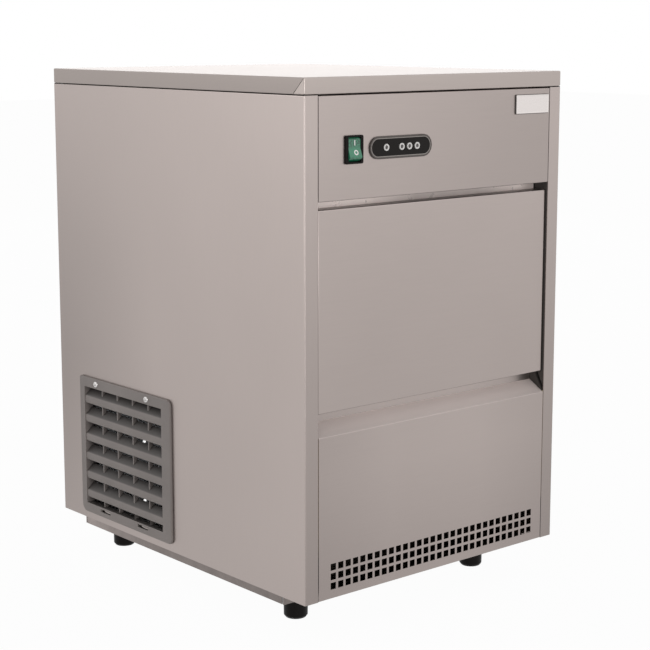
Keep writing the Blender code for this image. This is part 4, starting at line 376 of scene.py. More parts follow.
def tinned_sheet(name, colour, roughness):
    """Zinc-coated sheet: crystal cells of slightly different tone and gloss."""
    finish = Finish(name, colour, roughness, 1.0)
    cells = finish.add("ShaderNodeTexVoronoi", {"Vector": finish.place, "Scale": 210.0}).outputs["Color"]
    tone = finish.add("ShaderNodeSeparateColor", {"Color": cells}).outputs[0]
    finish.tint(tone, 0.96, 1.04)
    finish.rough(tone, 0.03)
    return finish


def base_finish(name, colour):
    """Base sheet: dull zinc with darker smudges, paler towards the rear."""
    finish = Finish(name, colour, 0.45, 1.0)
    smudge = finish.noise(38.0, detail=4.0, rough=0.65)
    finish.tint(smudge, 0.82, 1.18)
    finish.fall("Y", 0.08, CAD_HIGH.y - 0.05, 1.5)
    finish.rough(smudge, 0.06)
    return finish


def drawn_tube(name, colour, roughness):
    """Drawn copper: darker, duller patches of air stain over bright metal."""
    finish = Finish(name, colour, roughness, 1.0)
    stain = finish.noise(45.0, detail=5.0, rough=0.65)
    finish.tint(stain, 0.62, 1.12)
    finish.rough(stain, 0.1)
    finish.bump(finish.noise(700.0), 0.00002, 0.4)
    return finish


def enamel(name, colour, roughness):
    """Baked enamel: orange peel and a thin settled dust that dulls it in patches."""
    finish = Finish(name, colour, roughness)
    finish.tint(finish.noise(22.0, detail=4.0), 0.8, 1.5)
    finish.rough(finish.noise(30.0), 0.1)
    finish.bump(finish.noise(420.0, detail=1.0), 0.00004, 0.5)
    return finish


def foamed(name, colour):
    """Rigid foam: cells in low relief, a little darker in their walls."""
    finish = Finish(name, colour, 0.85)
    cells = finish.add("ShaderNodeTexVoronoi", {"Vector": finish.place, "Scale": 420.0}).outputs["Distance"]
    finish.tint(cells, 0.9, 1.06)
    finish.bump(cells, 0.0003, 0.6)
    return finish


def lid_finish(name, colour, roughness, skirt_shade):
    """Lid sheet: as the brushed sheet. The side skirts' grain runs the other way, and they get a painted
    shade for their duller reflection, but not the corner tabs, folded round from the front: there y + z is
    under the corner's."""
    low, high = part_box("top_cover")
    finish = brushed(name, colour, roughness, "X", 0.05)
    # Painted shade on the side skirts, past the corner tabs.
    is_side = finish.math("GREATER_THAN", finish.math("ABSOLUTE", finish.facing("X")), 0.7)
    total = finish.math("ADD", finish.along("Y"), finish.along("Z"))
    past_tab = finish.math("GREATER_THAN", total, low.y + high.z)
    finish.retint(finish.span(finish.math("MULTIPLY", is_side, past_tab), 1.0, skirt_shade, 0.0, 1.0))
    return finish


def post_finish(name, colour, roughness, grain, fade):
    """Side sheet: as the brushed sheet, with a little painted light to the front and painted shade to the
    rear, more of it at mid height towards the rear, and painted shade on its narrow front faces, deeper
    towards the floor."""
    finish = brushed(name, colour, roughness, "Z", grain, fade)
    # Painted light towards the front and painted shade towards the rear of the side sheets.
    finish.retint(finish.span(finish.along("Y"), 1.06, 0.93, CAD_LOW.y, CAD_HIGH.y))
    # Painted shade on the narrow front faces, deeper towards the floor.
    forward = finish.span(finish.facing("Y"), 1.0, 0.0, -0.8, -0.6)
    painted_post_shade = finish.span(finish.along("Z"), 0.32, 0.02, CAD_LOW.z + 0.04, CAD_HIGH.z - 0.05)
    finish.lose(forward, painted_post_shade)
    # Painted shade in a belt at mid height, growing towards the rear.
    shade_belt_height = 0.24
    apart = finish.math("ABSOLUTE", finish.math("SUBTRACT", finish.along("Z"), shade_belt_height))
    shade_belt = finish.span(apart, 0.2, 0.0, 0.03, 0.36)
    rearward = finish.span(finish.along("Y"), 0.0, 1.0, 0.03, CAD_HIGH.y - 0.035)
    finish.lose(shade_belt, rearward)
    return finish


def door_finish(name, colour, roughness, grain, fade):
    """Door sheet: as the brushed sheet, with painted shade on its top fold and under its foot, where no light
    falls, and a little painted shade towards its bottom.
    """
    finish = brushed(name, colour, roughness, "X", grain, fade)
    # Painted shade on the top fold, which looks up, and under the foot, which looks down.
    finish.retint(finish.span(finish.facing("Z"), 1.0, 0.42, 0.5, 0.9))
    finish.retint(finish.span(finish.facing("Z"), 0.3, 1.0, -0.8, -0.4))
    low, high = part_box("door_skin")
    # Painted shade growing towards the door's bottom.
    finish.fall("Z", high.z, low.z, 0.94)
    return finish


def lip_finish(name, colour):
    """Lip of the door's back: smooth sheet with painted light, a painted sheen that is brighter towards its
    two ends.
    """
    finish = Finish(name, colour, 0.3, 0.3)
    # Painted sheen: the lip is dimmest at this X and brighter towards its ends.
    sheen_low_x = 0.035
    spread = finish.math("ABSOLUTE", finish.math("SUBTRACT", finish.along("X"), sheen_low_x))
    smudge = finish.noise(60.0, detail=2.0)
    finish.tint(smudge, 0.97, 1.03)
    finish.retint(finish.span(spread, 0.72, 1.25, 0.05, 0.14))
    finish.rough(smudge, 0.04)
    return finish


def folded_finish(name, colour, roughness, grain, fade):
    """Lower sheet: as the brushed sheet, but matt and with painted light where its top is folded back and
    looks up, painted shade inside its foot, which is seen only through the vent holes, and painted shade low
    down and at its ends."""
    finish = brushed(name, colour, roughness, "X", grain, fade)
    low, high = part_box("lower_front_panel")
    # The folded top that looks up is made matt and gets painted light, strongest near its top, under the
    # door.
    looks_up = finish.span(finish.facing("Z"), 0.0, 1.0, 0.35, 0.75)
    is_top = finish.span(finish.along("Z"), 0.0, 1.0, low.z + 0.09, low.z + 0.10)
    upward = finish.math("MULTIPLY", looks_up, is_top)
    finish.link(finish.span(upward, 1.0, 0.15, 0.0, 1.0), "Metallic")
    painted_slope_light = finish.span(finish.along("Z"), 0.35, 1.45, high.z - 0.033, high.z - 0.0195)
    finish.retint(finish.math("MULTIPLY_ADD", upward, painted_slope_light, 1.0))
    # Painted shade inside the foot, seen through the vent holes.
    is_inner = finish.span(finish.along("Y"), 0.0, 1.0, low.y + 0.0006, low.y + 0.0009)
    is_foot = finish.span(finish.along("Z"), 0.95, 0.0, low.z + 0.07, low.z + 0.08)
    finish.lose(is_inner, is_foot)
    # Painted shade low down and towards both ends.
    finish.fall("Z", low.z + 0.14, low.z + 0.02, 0.88)
    finish.fall("X", low.x + 0.11, low.x, 0.88)
    finish.fall("X", high.x - 0.11, high.x, 0.9)
    return finish


def indicator_finish(name, settings):
    """Oval face: bands of tone by the distance from the oval's middle line, dark inside, grey rim outside."""
    low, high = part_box("indicator_panel")
    finish = Finish(name, settings.face_colour, 0.35, 0.0, Specular_IOR_Level=0.12)
    half_height = (high.z - low.z) / 2
    reach = (high.x - low.x) / 2 - half_height
    middle = {"Vector": finish.place, "Location": -(low + high) / 2}
    own = finish.add("ShaderNodeMapping", middle, vector_type="POINT").outputs["Vector"]
    parts = finish.add("ShaderNodeSeparateXYZ", {"Vector": own}).outputs
    past = finish.math("SUBTRACT", finish.math("ABSOLUTE", parts["X"]), reach)
    joined = finish.add("ShaderNodeCombineXYZ", {"X": finish.math("MAXIMUM", past, 0.0), "Y": parts["Z"]})
    length = finish.add("ShaderNodeVectorMath", {0: joined.outputs[0]}, operation="LENGTH").outputs["Value"]
    inward = finish.math("SUBTRACT", half_height, length)
    place = finish.math("MULTIPLY", inward, 1 / settings.rim_span)
    ramp = finish.add("ShaderNodeValToRGB", {"Fac": place})
    stops = ramp.color_ramp.elements
    stops[0].position, stops[0].color = 0.0, (*settings.rim_colour, 1)
    stops[1].position, stops[1].color = 0.84, (*settings.face_colour, 1)
    for position, colour in (
        (0.08, settings.edge_colour), (0.16, settings.rim_colour), (0.54, settings.rim_colour),
        (0.62, settings.line_colour), (0.75, settings.line_colour),
    ):
        stop = stops.new(position)
        stop.color = (*colour, 1)
    finish.link(ramp.outputs["Color"], "Base Color")
    finish.rough(finish.noise(500.0), 0.04)
    return finish


def lens_finish(name, colour, glow):
    """Lit lens: moulded prisms in low relief and a weak glow from the lamp behind. The prisms carry painted
    shade away from it.
    """
    low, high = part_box("switch_rocker")
    finish = Finish(
        name, colour, 0.28, 0.0, Coat_Weight=0.4, Coat_Roughness=0.08,
        Emission_Color=(*colour, 1), Emission_Strength=glow,
    )
    cells = {"Vector": finish.place, "Scale": 430.0, "Randomness": 0.6}
    prisms = finish.add("ShaderNodeTexVoronoi", cells).outputs["Distance"]
    speck = finish.span(prisms, 1.0, 0.0, 0.38, 0.6)
    # Painted shade: the prism specks darken away from the lamp's height.
    lamp_height = low.z + (high.z - low.z) * 0.4
    spread = finish.math("ABSOLUTE", finish.math("SUBTRACT", finish.along("Z"), lamp_height))
    amount = finish.span(spread, 0.1, 0.9, 0.004, 0.008)
    finish.tint(finish.noise(160.0), 0.85, 1.15)
    finish.lose(speck, amount)
    finish.bump(prisms, 0.0002, 0.7)
    return finish


# Settings
class SheetSettings(bpy.types.PropertyGroup):
    steel: bpy.props.FloatVectorProperty(
        name="Steel", description="Colour of the brushed cabinet sheets", subtype="COLOR",
        default=(0.434, 0.377, 0.356), min=0, max=1,
    )
    lid: bpy.props.FloatVectorProperty(
        name="Lid", description="Colour of the folded lid", subtype="COLOR",
        default=(0.45, 0.395, 0.37), min=0, max=1,
    )
    zinc: bpy.props.FloatVectorProperty(
        name="Zinc", description="Colour of zinc-coated sheets", subtype="COLOR",
        default=(0.5, 0.5, 0.5), min=0, max=1,
    )
    roughness: bpy.props.FloatProperty(
        name="Roughness", description="Roughness of the brushed sheets", default=0.36, min=0.05, max=1,
    )
    grain: bpy.props.FloatProperty(
        name="Grain", description="How far the brushed lines change the tone", default=0.05, min=0, max=0.5,
    )
    # Strength of the painted shade low down and the painted light high up on the sheets
    fade: bpy.props.FloatProperty(
        name="Fade", description="How far the sheets dull towards the floor", default=0.07, min=0, max=0.5,
    )


class PlasticSettings(bpy.types.PropertyGroup):
    black: bpy.props.FloatVectorProperty(
        name="Black", description="Colour of the feet and the switch frame", subtype="COLOR",
        default=(0.006, 0.0045, 0.004), min=0, max=1,
    )
    lining: bpy.props.FloatVectorProperty(
        name="Lining", description="Colour of the door's guide linings", subtype="COLOR",
        default=(0.055, 0.048, 0.044), min=0, max=1,
    )
    grille: bpy.props.FloatVectorProperty(
        name="Grille", description="Colour of the side grille", subtype="COLOR",
        default=(0.2, 0.174, 0.163), min=0, max=1,
    )
    white: bpy.props.FloatVectorProperty(
        name="White", description="Colour of the bin and the inner mouldings", subtype="COLOR",
        default=(0.72, 0.73, 0.74), min=0, max=1,
    )
    lens: bpy.props.FloatVectorProperty(
        name="Lens", description="Colour of the lit rocker", subtype="COLOR",
        default=(0.02, 0.15, 0.08), min=0, max=1,
    )


class PanelSettings(bpy.types.PropertyGroup):
    face_colour: bpy.props.FloatVectorProperty(
        name="Face", description="Colour of the oval face", subtype="COLOR",
        default=(0.011, 0.009, 0.008), min=0, max=1,
    )
    rim_colour: bpy.props.FloatVectorProperty(
        name="Rim", description="Colour of the oval's rim", subtype="COLOR",
        default=(0.12, 0.105, 0.098), min=0, max=1,
    )
    line_colour: bpy.props.FloatVectorProperty(
        name="Line", description="Colour of the oval's inner line", subtype="COLOR",
        default=(0.34, 0.31, 0.29), min=0, max=1,
    )
    edge_colour: bpy.props.FloatVectorProperty(
        name="Edge", description="Colour of the oval's outer edge", subtype="COLOR",
        default=(0.05, 0.043, 0.04), min=0, max=1,
    )
    rim_span: bpy.props.FloatProperty(
        name="Rim span", description="Width of the rim's bands", default=0.0037, min=0.001, unit="LENGTH",
    )
    mark_colour: bpy.props.FloatVectorProperty(
        name="Marks", description="Colour of the switch marks and lamp rings", subtype="COLOR",
        default=(0.72, 0.7, 0.68), min=0, max=1,
    )


class BadgeSettings(bpy.types.PropertyGroup):
    width: bpy.props.FloatProperty(name="Width", description="Plate width", default=0.0568, unit="LENGTH")
    height: bpy.props.FloatProperty(name="Height", description="Plate height", default=0.023, unit="LENGTH")
    proud: bpy.props.FloatProperty(name="Proud", description="Plate thickness", default=0.0023, unit="LENGTH")
    corner: bpy.props.FloatProperty(name="Corner", description="Corner radius", default=0.0012, unit="LENGTH")
    from_right: bpy.props.FloatProperty(
        name="From right", description="Gap to the control panel's right edge", default=0.0028, unit="LENGTH",
    )
    from_top: bpy.props.FloatProperty(
        name="From top", description="Gap to the control panel's top edge", default=0.0068, unit="LENGTH",
    )
    colour: bpy.props.FloatVectorProperty(
        name="Colour", description="Plate colour", subtype="COLOR", default=(0.75, 0.7, 0.68), min=0, max=1,
    )


class ScrewSettings(bpy.types.PropertyGroup):
    radius: bpy.props.FloatProperty(name="Radius", description="Head radius", default=0.0041, unit="LENGTH")
    height: bpy.props.FloatProperty(name="Height", description="Head height", default=0.0023, unit="LENGTH")
    recess: bpy.props.FloatProperty(
        name="Recess", description="Depth of the cross",
        default=0.0012, unit="LENGTH",
    )


class StageSettings(bpy.types.PropertyGroup):
    camera: bpy.props.FloatVectorProperty(
        name="Camera", description="Camera's place", subtype="TRANSLATION",
        default=(-1.30875, -1.58764, 0.6791),
    )
    yaw: bpy.props.FloatProperty(
        name="Yaw", description="Turn from +Y towards +X",
        default=math.radians(40.52), unit="ROTATION",
    )
    pitch: bpy.props.FloatProperty(
        name="Pitch", description="Tilt below the horizon",
        default=math.radians(9.42), unit="ROTATION",
    )
    lens: bpy.props.FloatProperty(
        name="Lens", description="Focal length on a 36 mm sensor, in mm",
        default=91.0, min=10,
    )
    rise: bpy.props.FloatProperty(
        name="Shift", description="Vertical shift of the lens, in frame widths",
        default=-0.04, min=-0.1, max=0.1,
    )
    ambient: bpy.props.FloatProperty(
        name="Ambient", description="Strength of the surrounding light",
        default=0.8, min=0,
    )


SETTINGS = {
    "ice_sheets": SheetSettings,
    "ice_plastics": PlasticSettings,
    "ice_panel": PanelSettings,
    "ice_badge": BadgeSettings,
    "ice_screws": ScrewSettings,
    "ice_stage": StageSettings,
}


# Operators
def paint(finish, *nodes):
    """Puts a finish on CAD nodes, or on the smooth copies that stand for them."""
    for node in nodes:
        copy = bpy.data.objects.get(node + "_smooth")
        item = copy or frame["nodes"][node]
        item.data.materials.clear()
        item.data.materials.append(finish.material)


class ICE_OT_round_pieces(bpy.types.Operator):
    """Replace each node by a merged copy of it, whose round faces shade smooth"""

    bl_idname = "ice.round_pieces"
    bl_label = "Smooth the round pieces"

    def execute(self, context):
        for node in sorted(frame["nodes"]):
            smoothed(node)
        return {"FINISHED"}


class ICE_OT_sheets(bpy.types.Operator):
    """Give the steel and zinc sheets their finishes"""

    bl_idname = "ice.sheets"
    bl_label = "Finish the sheets"

    def execute(self, context):
        sheets = context.scene.ice_sheets
        steel = tuple(sheets.steel)
        side = post_finish("side_steel", steel, sheets.roughness, sheets.grain, sheets.fade)
        front = brushed("front_steel", steel, sheets.roughness, "X", sheets.grain, sheets.fade)
        lid = lid_finish("lid_steel", tuple(sheets.lid), sheets.roughness, 0.76)
        zinc = tinned_sheet("zinc_sheet", tuple(sheets.zinc), 0.42)
        paint(side, "left_side_panel", "right_side_panel")
        low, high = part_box("control_panel")
        # Painted shade on the control panel: darker towards its right end and towards its bottom.
        front.fall("X", low.x, high.x, 0.88)
        front.fall("Z", high.z, low.z, 0.97)
        paint(front, "control_panel")
        paint(door_finish("door_steel", steel, sheets.roughness, sheets.grain, sheets.fade), "door_skin")
        # Painted light: the lip's colour is the steel's raised 1.85 times, so it shows bright in its recess.
        paint(lip_finish("lip_steel", tuple(channel * 1.85 for channel in steel)), "door_back")
        lower = folded_finish("lower_steel", steel, sheets.roughness, sheets.grain, sheets.fade)
        paint(lower, "lower_front_panel")
        paint(lid, "top_cover")
        paint(zinc, "rear_panel", "control_tray", "control_box", "fan_motor_bracket", "flap_bracket")
        paint(base_finish("dull_zinc", tuple(channel * 0.5 for channel in steel)), "base_plate")
        return {"FINISHED"}


class ICE_OT_plastics(bpy.types.Operator):
    """Give the mouldings, the foam and the rubber their finishes"""

    bl_idname = "ice.plastics"
    bl_label = "Finish the plastics"

    def execute(self, context):
        plastics = context.scene.ice_plastics
        panel = context.scene.ice_panel
        black = moulded("black_moulding", tuple(plastics.black), 0.42, 1.0, 0.00003, Specular_IOR_Level=0.1)
        lining = moulded("dark_lining", tuple(plastics.lining), 0.48, 0.8, 0.00004)
        grille = louvre_finish("grille_moulding", tuple(plastics.grille), 0.5)
        white = moulded("white_moulding", tuple(plastics.white), 0.34, 0.35, 0.00003, Coat_Weight=0.15)
        inner = moulded("grey_moulding", (0.22, 0.24, 0.27), 0.45, 0.8, 0.00004)
        cream = moulded("cream_moulding", (0.7, 0.69, 0.63), 0.4, 0.8, 0.00003)
        hose = moulded("grey_hose", (0.42, 0.42, 0.4), 0.55, 1.2, 0.00004)
        foam = foamed("rigid_foam", (0.7, 0.62, 0.42))
        paint(black, "foot_front_left", "foot_front_right", "foot_rear_left", "foot_rear_right")
        paint(black, "switch_housing", "cord_gland", "level_switch", "fan_shroud", "tray_motor")
        paint(lining, "left_guide_lining", "right_guide_lining")
        paint(grille, "air_grille")
        paint(white, "bin_liner", "ice_chute", "water_trough", "water_tray")
        paint(white, "chamber_roof", "splash_guard", "level_flap")
        paint(inner, "water_pump")
        paint(cream, "inlet_valve", "drain_spigot")
        paint(hose, "pump_hose", "fill_tube", "drain_tube")
        paint(foam, "bin_insulation", "door_core")
        paint(indicator_finish("oval_face", panel), "indicator_panel")
        paint(moulded("lamp_rings", tuple(panel.mark_colour), 0.35, 1.0, 0.00001), "indicator_lamps")
        paint(lens_finish("green_lens", tuple(plastics.lens), 0.3), "switch_rocker")
        return {"FINISHED"}


class ICE_OT_works(bpy.types.Operator):
    """Give the cooling works, the rods and the motors their finishes"""

    bl_idname = "ice.works"
    bl_label = "Finish the works"

    def execute(self, context):
        copper = drawn_tube("drawn_copper", (0.8, 0.42, 0.27), 0.28)
        brass = drawn_tube("valve_brass", (0.72, 0.52, 0.24), 0.3)
        nickel = brushed("nickel_plate", (0.72, 0.69, 0.64), 0.22, "Z", 0.03)
        rod = brushed("stainless_rod", (0.6, 0.58, 0.56), 0.25, "X", 0.04)
        fins = brushed("bare_fins", (0.8, 0.81, 0.82), 0.38, "Z", 0.06)
        paint(copper, "evaporator_tube", "discharge_tube", "suction_tube", "liquid_tube")
        paint(copper, "capillary_tube", "filter_drier")
        paint(brass, "hot_gas_valve")
        paint(nickel, "evaporator")
        paint(rod, "door_lower_rod", "door_upper_pin_left", "door_upper_pin_right")
        paint(rod, "tray_pivot_pin", "fan_shaft")
        paint(fins, "condenser", "fan_blade")
        paint(enamel("black_enamel", (0.018, 0.018, 0.018), 0.33), "compressor", "fan_motor")
        return {"FINISHED"}


class ICE_OT_badge(bpy.types.Operator):
    """Make the bare plate at the top right of the control panel, on a dark backing that paints the shade
    along its edges
    """

    bl_idname = "ice.badge"
    bl_label = "Make the bare plate"

    def execute(self, context):
        badge = context.scene.ice_badge
        low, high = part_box("control_panel")
        proud = badge.proud
        backing = proud * 0.62
        round_edge = 0.0003
        backing_profile = [(0.0, LIFT), (0.0, backing - round_edge), (round_edge, backing), (0.0010, backing)]
        plate_profile = [
            (0.0006, backing - LIFT), (0.0006, proud - round_edge), (0.0006 + round_edge, proud),
            (0.0019, proud), (0.0022, proud - 0.00018), (0.0025, proud - 0.00018),
        ]
        centre = (
            high.x - badge.from_right - badge.width / 2,
            low.y,
            high.z - badge.from_top - badge.height / 2,
        )
        # Painted shade: the dark backing shows as a shaded edge round the plate.
        painted_shade_finish = moulded("plate_shade_backing", tuple(context.scene.ice_plastics.lining), 0.4, 1.0, 0.00002)
        metal = brushed("plate_metal", tuple(badge.colour), 0.3, "X", 0.02)
        for name, profile, slot_name, finish in (
            ("plate_shade_backing", backing_profile, "dark_lining", painted_shade_finish),
            ("bare_plate", plate_profile, "bright_steel", metal),
        ):
            part = placed(plate(badge.width, badge.height, badge.corner, profile), RIGHT, UP, centre)
            fit(mesh_from(name, [part]), "cabinet", finish.material)
        return {"FINISHED"}


class ICE_OT_seal(bpy.types.Operator):
    """Make the dark strips in the seam between the lid and the side panels, which paint the shade in that gap
    """

    bl_idname = "ice.seal"
    bl_label = "Make the lid's seal"

    def execute(self, context):
        lid_low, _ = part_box("top_cover")
        width, set_back, end_gap, seam_gap = 0.0012, 0.0011, 0.0006, 0.0001
        parts = []
        for panel, inward in (("left_side_panel", 1), ("right_side_panel", -1)):
            low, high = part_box(panel)
            x = (low.x if inward > 0 else high.x) + inward * set_back
            level = (high.z + lid_low.z) / 2
            path = [(x, y, level) for y in (low.y + end_gap, 0.0, high.y - end_gap)]
            parts.append(sheet_strip(path, width, lid_low.z - high.z - seam_gap, RIGHT))
        # Painted shade: dark strips fill the seam, where the gap shows only shade.
        black = tuple(context.scene.ice_plastics.black)
        foam = moulded("seam_shade", black, 0.8, 1.0, 0.00005, Specular_IOR_Level=0.1)
        fit(mesh_from("lid_seam_shade", parts), "cabinet", foam.material)
        return {"FINISHED"}


class ICE_OT_marks(bpy.types.Operator):
    """Make the line and ring on the rocker"""

    bl_idname = "ice.marks"
    bl_label = "Make the switch marks"

    def execute(self, context):
        low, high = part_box("switch_rocker")
        line = plate(0.0013, 0.0058, 0.0002, [(0.0, -LIFT), (0.0, LIFT * 2)], 3)
        parts = []
        for across, height, mark in ((0.53, 0.78, line), (0.58, 0.38, ring_mark(0.0030, 0.0016))):
            x = low.x + (high.x - low.x) * across
            z = low.z + (high.z - low.z) * height
            point, normal = met("switch_rocker", (x, CAD_LOW.y - 0.01, z), REAR)
            parts.append(placed(mark, RIGHT, normal.cross(Vector(RIGHT)).normalized(), point))
        finish = moulded("mark_ink", tuple(context.scene.ice_panel.mark_colour), 0.4, 1.0, 0.00001)
        fit(mesh_from("switch_marks", parts, smooth=False), "rocker", finish.material)
        return {"FINISHED"}


def ring_mark(outer, inner, steps=32):
    """Flat ring: loops of radius inner and outer at two levels, joined round into a closed band."""
    profile = [(inner, -LIFT), (outer, -LIFT), (outer, LIFT * 2), (inner, LIFT * 2), (inner, -LIFT)]
    return turned(profile, steps)


def met(node, start, direction):
    """Point and normal where a ray from start first meets a CAD node."""
    work = bmesh.new()
    work.from_mesh(frame["nodes"][node].data)
    tree = BVHTree.FromBMesh(work)
    work.free()
    point, normal, _, _ = tree.ray_cast(Vector(start), Vector(direction))
    if point is None:
        raise RuntimeError(f"no {node} is met from {start}")
    return point, normal


class ICE_OT_lamps(bpy.types.Operator):
    """Make the small domed lenses inside the indicator rings"""

    bl_idname = "ice.lamps"
    bl_label = "Make the lamp lenses"

    def execute(self, context):
        low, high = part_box("indicator_lamps")
        first_x = low.x + (high.z - low.z) / 2
        radius, rise, sunk = 0.0021, 0.0004, 0.0006
        dome = [(radius * math.cos(a), rise * math.sin(a)) for a in np.linspace(0, math.pi / 2, 6)]
        lens = turned([(0.0, -rise), (radius, -rise), *dome], 24)
        parts = []
        for offset in LAMP_OFFSETS:
            centre = (first_x + offset, low.y + sunk, (low.z + high.z) / 2)
            parts.append(placed(lens, RIGHT, UP, centre))
        finish = Finish("lamp_lens_dark", (0.03, 0.02, 0.018), 0.12, 0.0, Coat_Weight=0.6)
        finish.tint(finish.noise(300.0), 0.7, 1.3)
        fit(mesh_from("lamp_lenses", parts), "cabinet", finish.material)
        return {"FINISHED"}


class ICE_OT_clips(bpy.types.Operator):
    """Make the dark strip of painted shade and the tongue in each clip slot of the grille"""

    bl_idname = "ice.clips"
    bl_label = "Make the grille's clips"

    def execute(self, context):
        low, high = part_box("air_grille")
        z = low.z + 0.0085
        half_pocket, pocket_depth = 0.0108, 0.0027
        run = np.linspace(0, 1, 9)
        shade_strips, tongues = [], []
        for y in (high.y - 0.055, low.y + 0.0615):
            pocket = [(low.x + pocket_depth, y + shift, z) for shift in (-half_pocket, 0.0, half_pocket)]
            shade_strips.append(sheet_strip(pocket, 0.0034, 0.0002, UP))
            tongue = np.stack([
                low.x + 0.0006 + 0.0014 * run**2, y - 0.0105 + 0.0145 * run, z + 0.0006 - 0.0003 * run,
            ], axis=-1)
            tongues.append(sheet_strip(tongue, 0.0017, 0.0006, UP))
        plastics = context.scene.ice_plastics
        # Painted shade: a dark strip lies at the floor of each slot.
        painted_shade_finish = moulded("clip_slot_shade", tuple(plastics.black), 0.6, 1.0, 0.00002, Specular_IOR_Level=0.1)
        fit(mesh_from("clip_slot_shades", shade_strips), "cabinet", painted_shade_finish.material)
        pale = moulded("clip_tongue", tuple(channel * 2.0 for channel in plastics.grille), 0.5, 1.0, 0.00002)
        fit(mesh_from("clip_tongues", tongues), "cabinet", pale.material)
        return {"FINISHED"}


class ICE_OT_screws(bpy.types.Operator):
    """Make the screw heads of the grille, the condenser and the rear panel"""

    bl_idname = "ice.screws"
    bl_label = "Make the screws"

    def execute(self, context):
        screws = context.scene.ice_screws
        head = screw_head(screws.radius, screws.height, screws.recess)
        bright = brushed("screw_steel", (0.6, 0.58, 0.57), 0.24, "Y", 0.03)
        low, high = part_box("air_grille")
        from_top = 0.0066
        parts = []
        for from_rear in GRILLE_SCREWS:
            place = (low.x, high.y - from_rear, high.z - from_top)
            parts.append(placed(head, (0, -1, 0), UP, place))
        fit(mesh_from("grille_screws", parts), "cabinet", bright.material)

        low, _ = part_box("condenser")
        small = screw_head(0.0021, 0.0013, 0.0007)
        before_fins = 0.069
        parts = []
        for x, z in CONDENSER_SCREWS:
            point, _ = met("condenser", (x, low.y + before_fins, z), REAR)
            parts.append(placed(small, RIGHT, UP, point))
        # Painted light: the pale heads glow a little so they show bright in the shade.
        pale = Finish("nylon_head_painted_glow", (0.9, 0.9, 0.9), 0.5, Emission_Color=(1, 1, 1, 1), Emission_Strength=0.8)
        pale.tint(pale.noise(400.0), 0.95, 1.05)
        fit(mesh_from("condenser_screws", parts), "cabinet", pale.material)

        low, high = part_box("rear_panel")
        inset = 0.009
        parts = []
        for x in (low.x + inset, high.x - inset):
            for z in np.linspace(low.z + 2 * inset, high.z - 2 * inset, 4):
                point, _ = met("rear_panel", (x, CAD_HIGH.y + 0.05, z), (0, -1, 0))
                parts.append(placed(head, (-1, 0, 0), UP, point))
        fit(mesh_from("rear_screws", parts), "cabinet", bright.material)
        return {"FINISHED"}


class ICE_OT_stage(bpy.types.Operator):
    """Set the pale floor, the surrounding light, the lamps and the camera"""

    bl_idname = "ice.stage"
    bl_label = "Set the stage"

    def execute(self, context):
        stage = context.scene.ice_stage
        scene = context.scene
        scene.view_settings.view_transform = "Standard"

        data = bpy.data.cameras.new("photo_camera")
        data.lens = stage.lens
        data.sensor_width = 36
        data.shift_y = stage.rise
        camera = bpy.data.objects.new("photo_camera", data)
        camera.location = stage.camera
        sight = Vector((
            math.sin(stage.yaw) * math.cos(stage.pitch),
            math.cos(stage.yaw) * math.cos(stage.pitch),
            -math.sin(stage.pitch),
        ))
        camera.rotation_euler = sight.to_track_quat("-Z", "Y").to_euler()
        scene.collection.objects.link(camera)
        scene.camera = camera

        corners = ((-1, -1), (1, -1), (1, 1), (-1, 1))
        points = [(x * FLOOR_REACH, y * FLOOR_REACH, FLOOR_LEVEL) for x, y in corners]
        floor = mesh_from("floor", [(points, [[0, 1, 2, 3]])], smooth=False)
        floor.data.materials.append(floor_material("pale_floor", 0.5))

        world = bpy.data.worlds.new("studio")
        world.use_nodes = True
        scene.world = world
        tree = world.node_tree
        tree.nodes.clear()
        mix = tree.nodes.new("ShaderNodeMixShader")
        tree.links.new(seen_directly(tree), mix.inputs["Fac"])
        for socket, strength in ((1, stage.ambient), (2, 1.0)):
            light = tree.nodes.new("ShaderNodeBackground")
            light.inputs["Color"].default_value = (1, 1, 1, 1)
            light.inputs["Strength"].default_value = strength
            tree.links.new(light.outputs[0], mix.inputs[socket])
        output = tree.nodes.new("ShaderNodeOutputWorld")
        tree.links.new(mix.outputs[0], output.inputs["Surface"])

        aim = (CAD_LOW + CAD_HIGH) / 2
        for name, place, width, power in LAMPS:
            lamp_data = bpy.data.lights.new(name, "AREA")
            lamp_data.size = width
            lamp_data.energy = power
            lamp = bpy.data.objects.new(name, lamp_data)
            lamp.location = place
            lamp.rotation_euler = (aim - Vector(place)).to_track_quat("-Z", "Y").to_euler()
            lamp.visible_camera = False
            scene.collection.objects.link(lamp)
        return {"FINISHED"}


def seen_directly(tree):
    """Socket that is 1 for camera rays and for mirrored or transmitted ones, and 0 for the rest."""
    path = tree.nodes.new("ShaderNodeLightPath")
    total = path.outputs["Is Camera Ray"]
    for ray in ("Is Glossy Ray", "Is Transmission Ray"):
        larger = tree.nodes.new("ShaderNodeMath")
        larger.operation = "MAXIMUM"
        tree.links.new(total, larger.inputs[0])
        tree.links.new(path.outputs[ray], larger.inputs[1])
        total = larger.outputs[0]
    return total


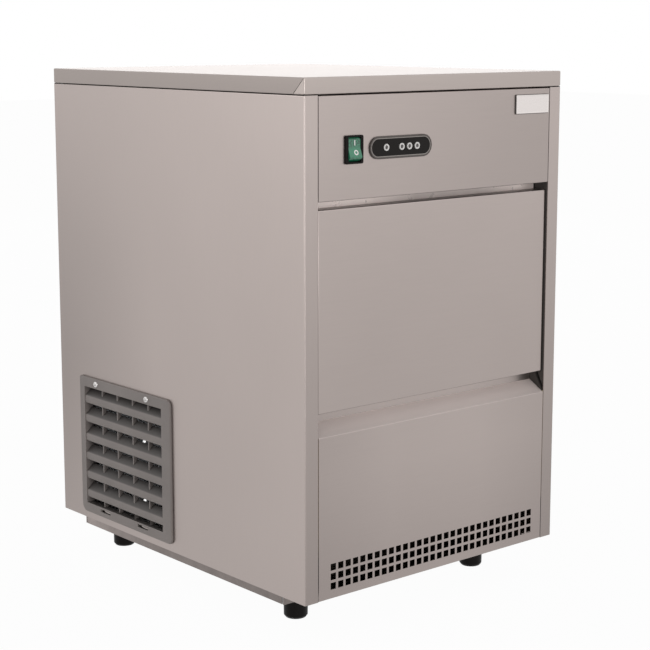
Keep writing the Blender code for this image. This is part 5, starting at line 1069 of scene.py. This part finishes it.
def floor_material(name, level):
    """Floor: plain pale diffuse that keeps the shadow, lifted towards white for camera and mirror rays."""
    material = bpy.data.materials.new(name)
    material.use_nodes = True
    tree = material.node_tree
    shader = tree.nodes["Principled BSDF"]
    shader.inputs["Base Color"].default_value = (level, level, level, 1)
    shader.inputs["Roughness"].default_value = 0.9
    shader.inputs["Specular IOR Level"].default_value = 0.0
    glow = tree.nodes.new("ShaderNodeEmission")
    glow.inputs["Strength"].default_value = 1.0
    share = tree.nodes.new("ShaderNodeMath")
    share.operation = "MULTIPLY"
    share.inputs[1].default_value = FLOOR_WHITE_SHARE
    mix = tree.nodes.new("ShaderNodeMixShader")
    output = tree.nodes["Material Output"]
    tree.links.new(seen_directly(tree), share.inputs[0])
    tree.links.new(share.outputs[0], mix.inputs["Fac"])
    tree.links.new(shader.outputs[0], mix.inputs[1])
    tree.links.new(glow.outputs[0], mix.inputs[2])
    tree.links.new(mix.outputs[0], output.inputs["Surface"])
    return material


OPERATORS = (
    ICE_OT_round_pieces,
    ICE_OT_sheets,
    ICE_OT_plastics,
    ICE_OT_works,
    ICE_OT_badge,
    ICE_OT_seal,
    ICE_OT_marks,
    ICE_OT_lamps,
    ICE_OT_clips,
    ICE_OT_screws,
    ICE_OT_stage,
)


class ICE_PT_sidebar(bpy.types.Panel):
    """Lists the operators and their settings"""

    bl_label = "Ice machine"
    bl_idname = "ICE_PT_sidebar"
    bl_space_type = "VIEW_3D"
    bl_region_type = "UI"
    bl_category = "Ice machine"

    def draw(self, context):
        for operator in OPERATORS:
            self.layout.operator(operator.bl_idname)
        for key, group in SETTINGS.items():
            box = self.layout.box()
            for setting in group.__annotations__:
                box.prop(getattr(context.scene, key), setting)


def register():
    for group in SETTINGS.values():
        bpy.utils.register_class(group)
    for key, group in SETTINGS.items():
        setattr(bpy.types.Scene, key, bpy.props.PointerProperty(type=group))
    for operator in OPERATORS:
        bpy.utils.register_class(operator)
    bpy.utils.register_class(ICE_PT_sidebar)


def unregister():
    bpy.utils.unregister_class(ICE_PT_sidebar)
    for operator in reversed(OPERATORS):
        bpy.utils.unregister_class(operator)
    for key, group in SETTINGS.items():
        delattr(bpy.types.Scene, key)
        bpy.utils.unregister_class(group)


def main():
    register()
    for operator in OPERATORS:
        section, action = operator.bl_idname.split(".")
        getattr(getattr(bpy.ops, section), action)()


if __name__ == "__main__":
    main()
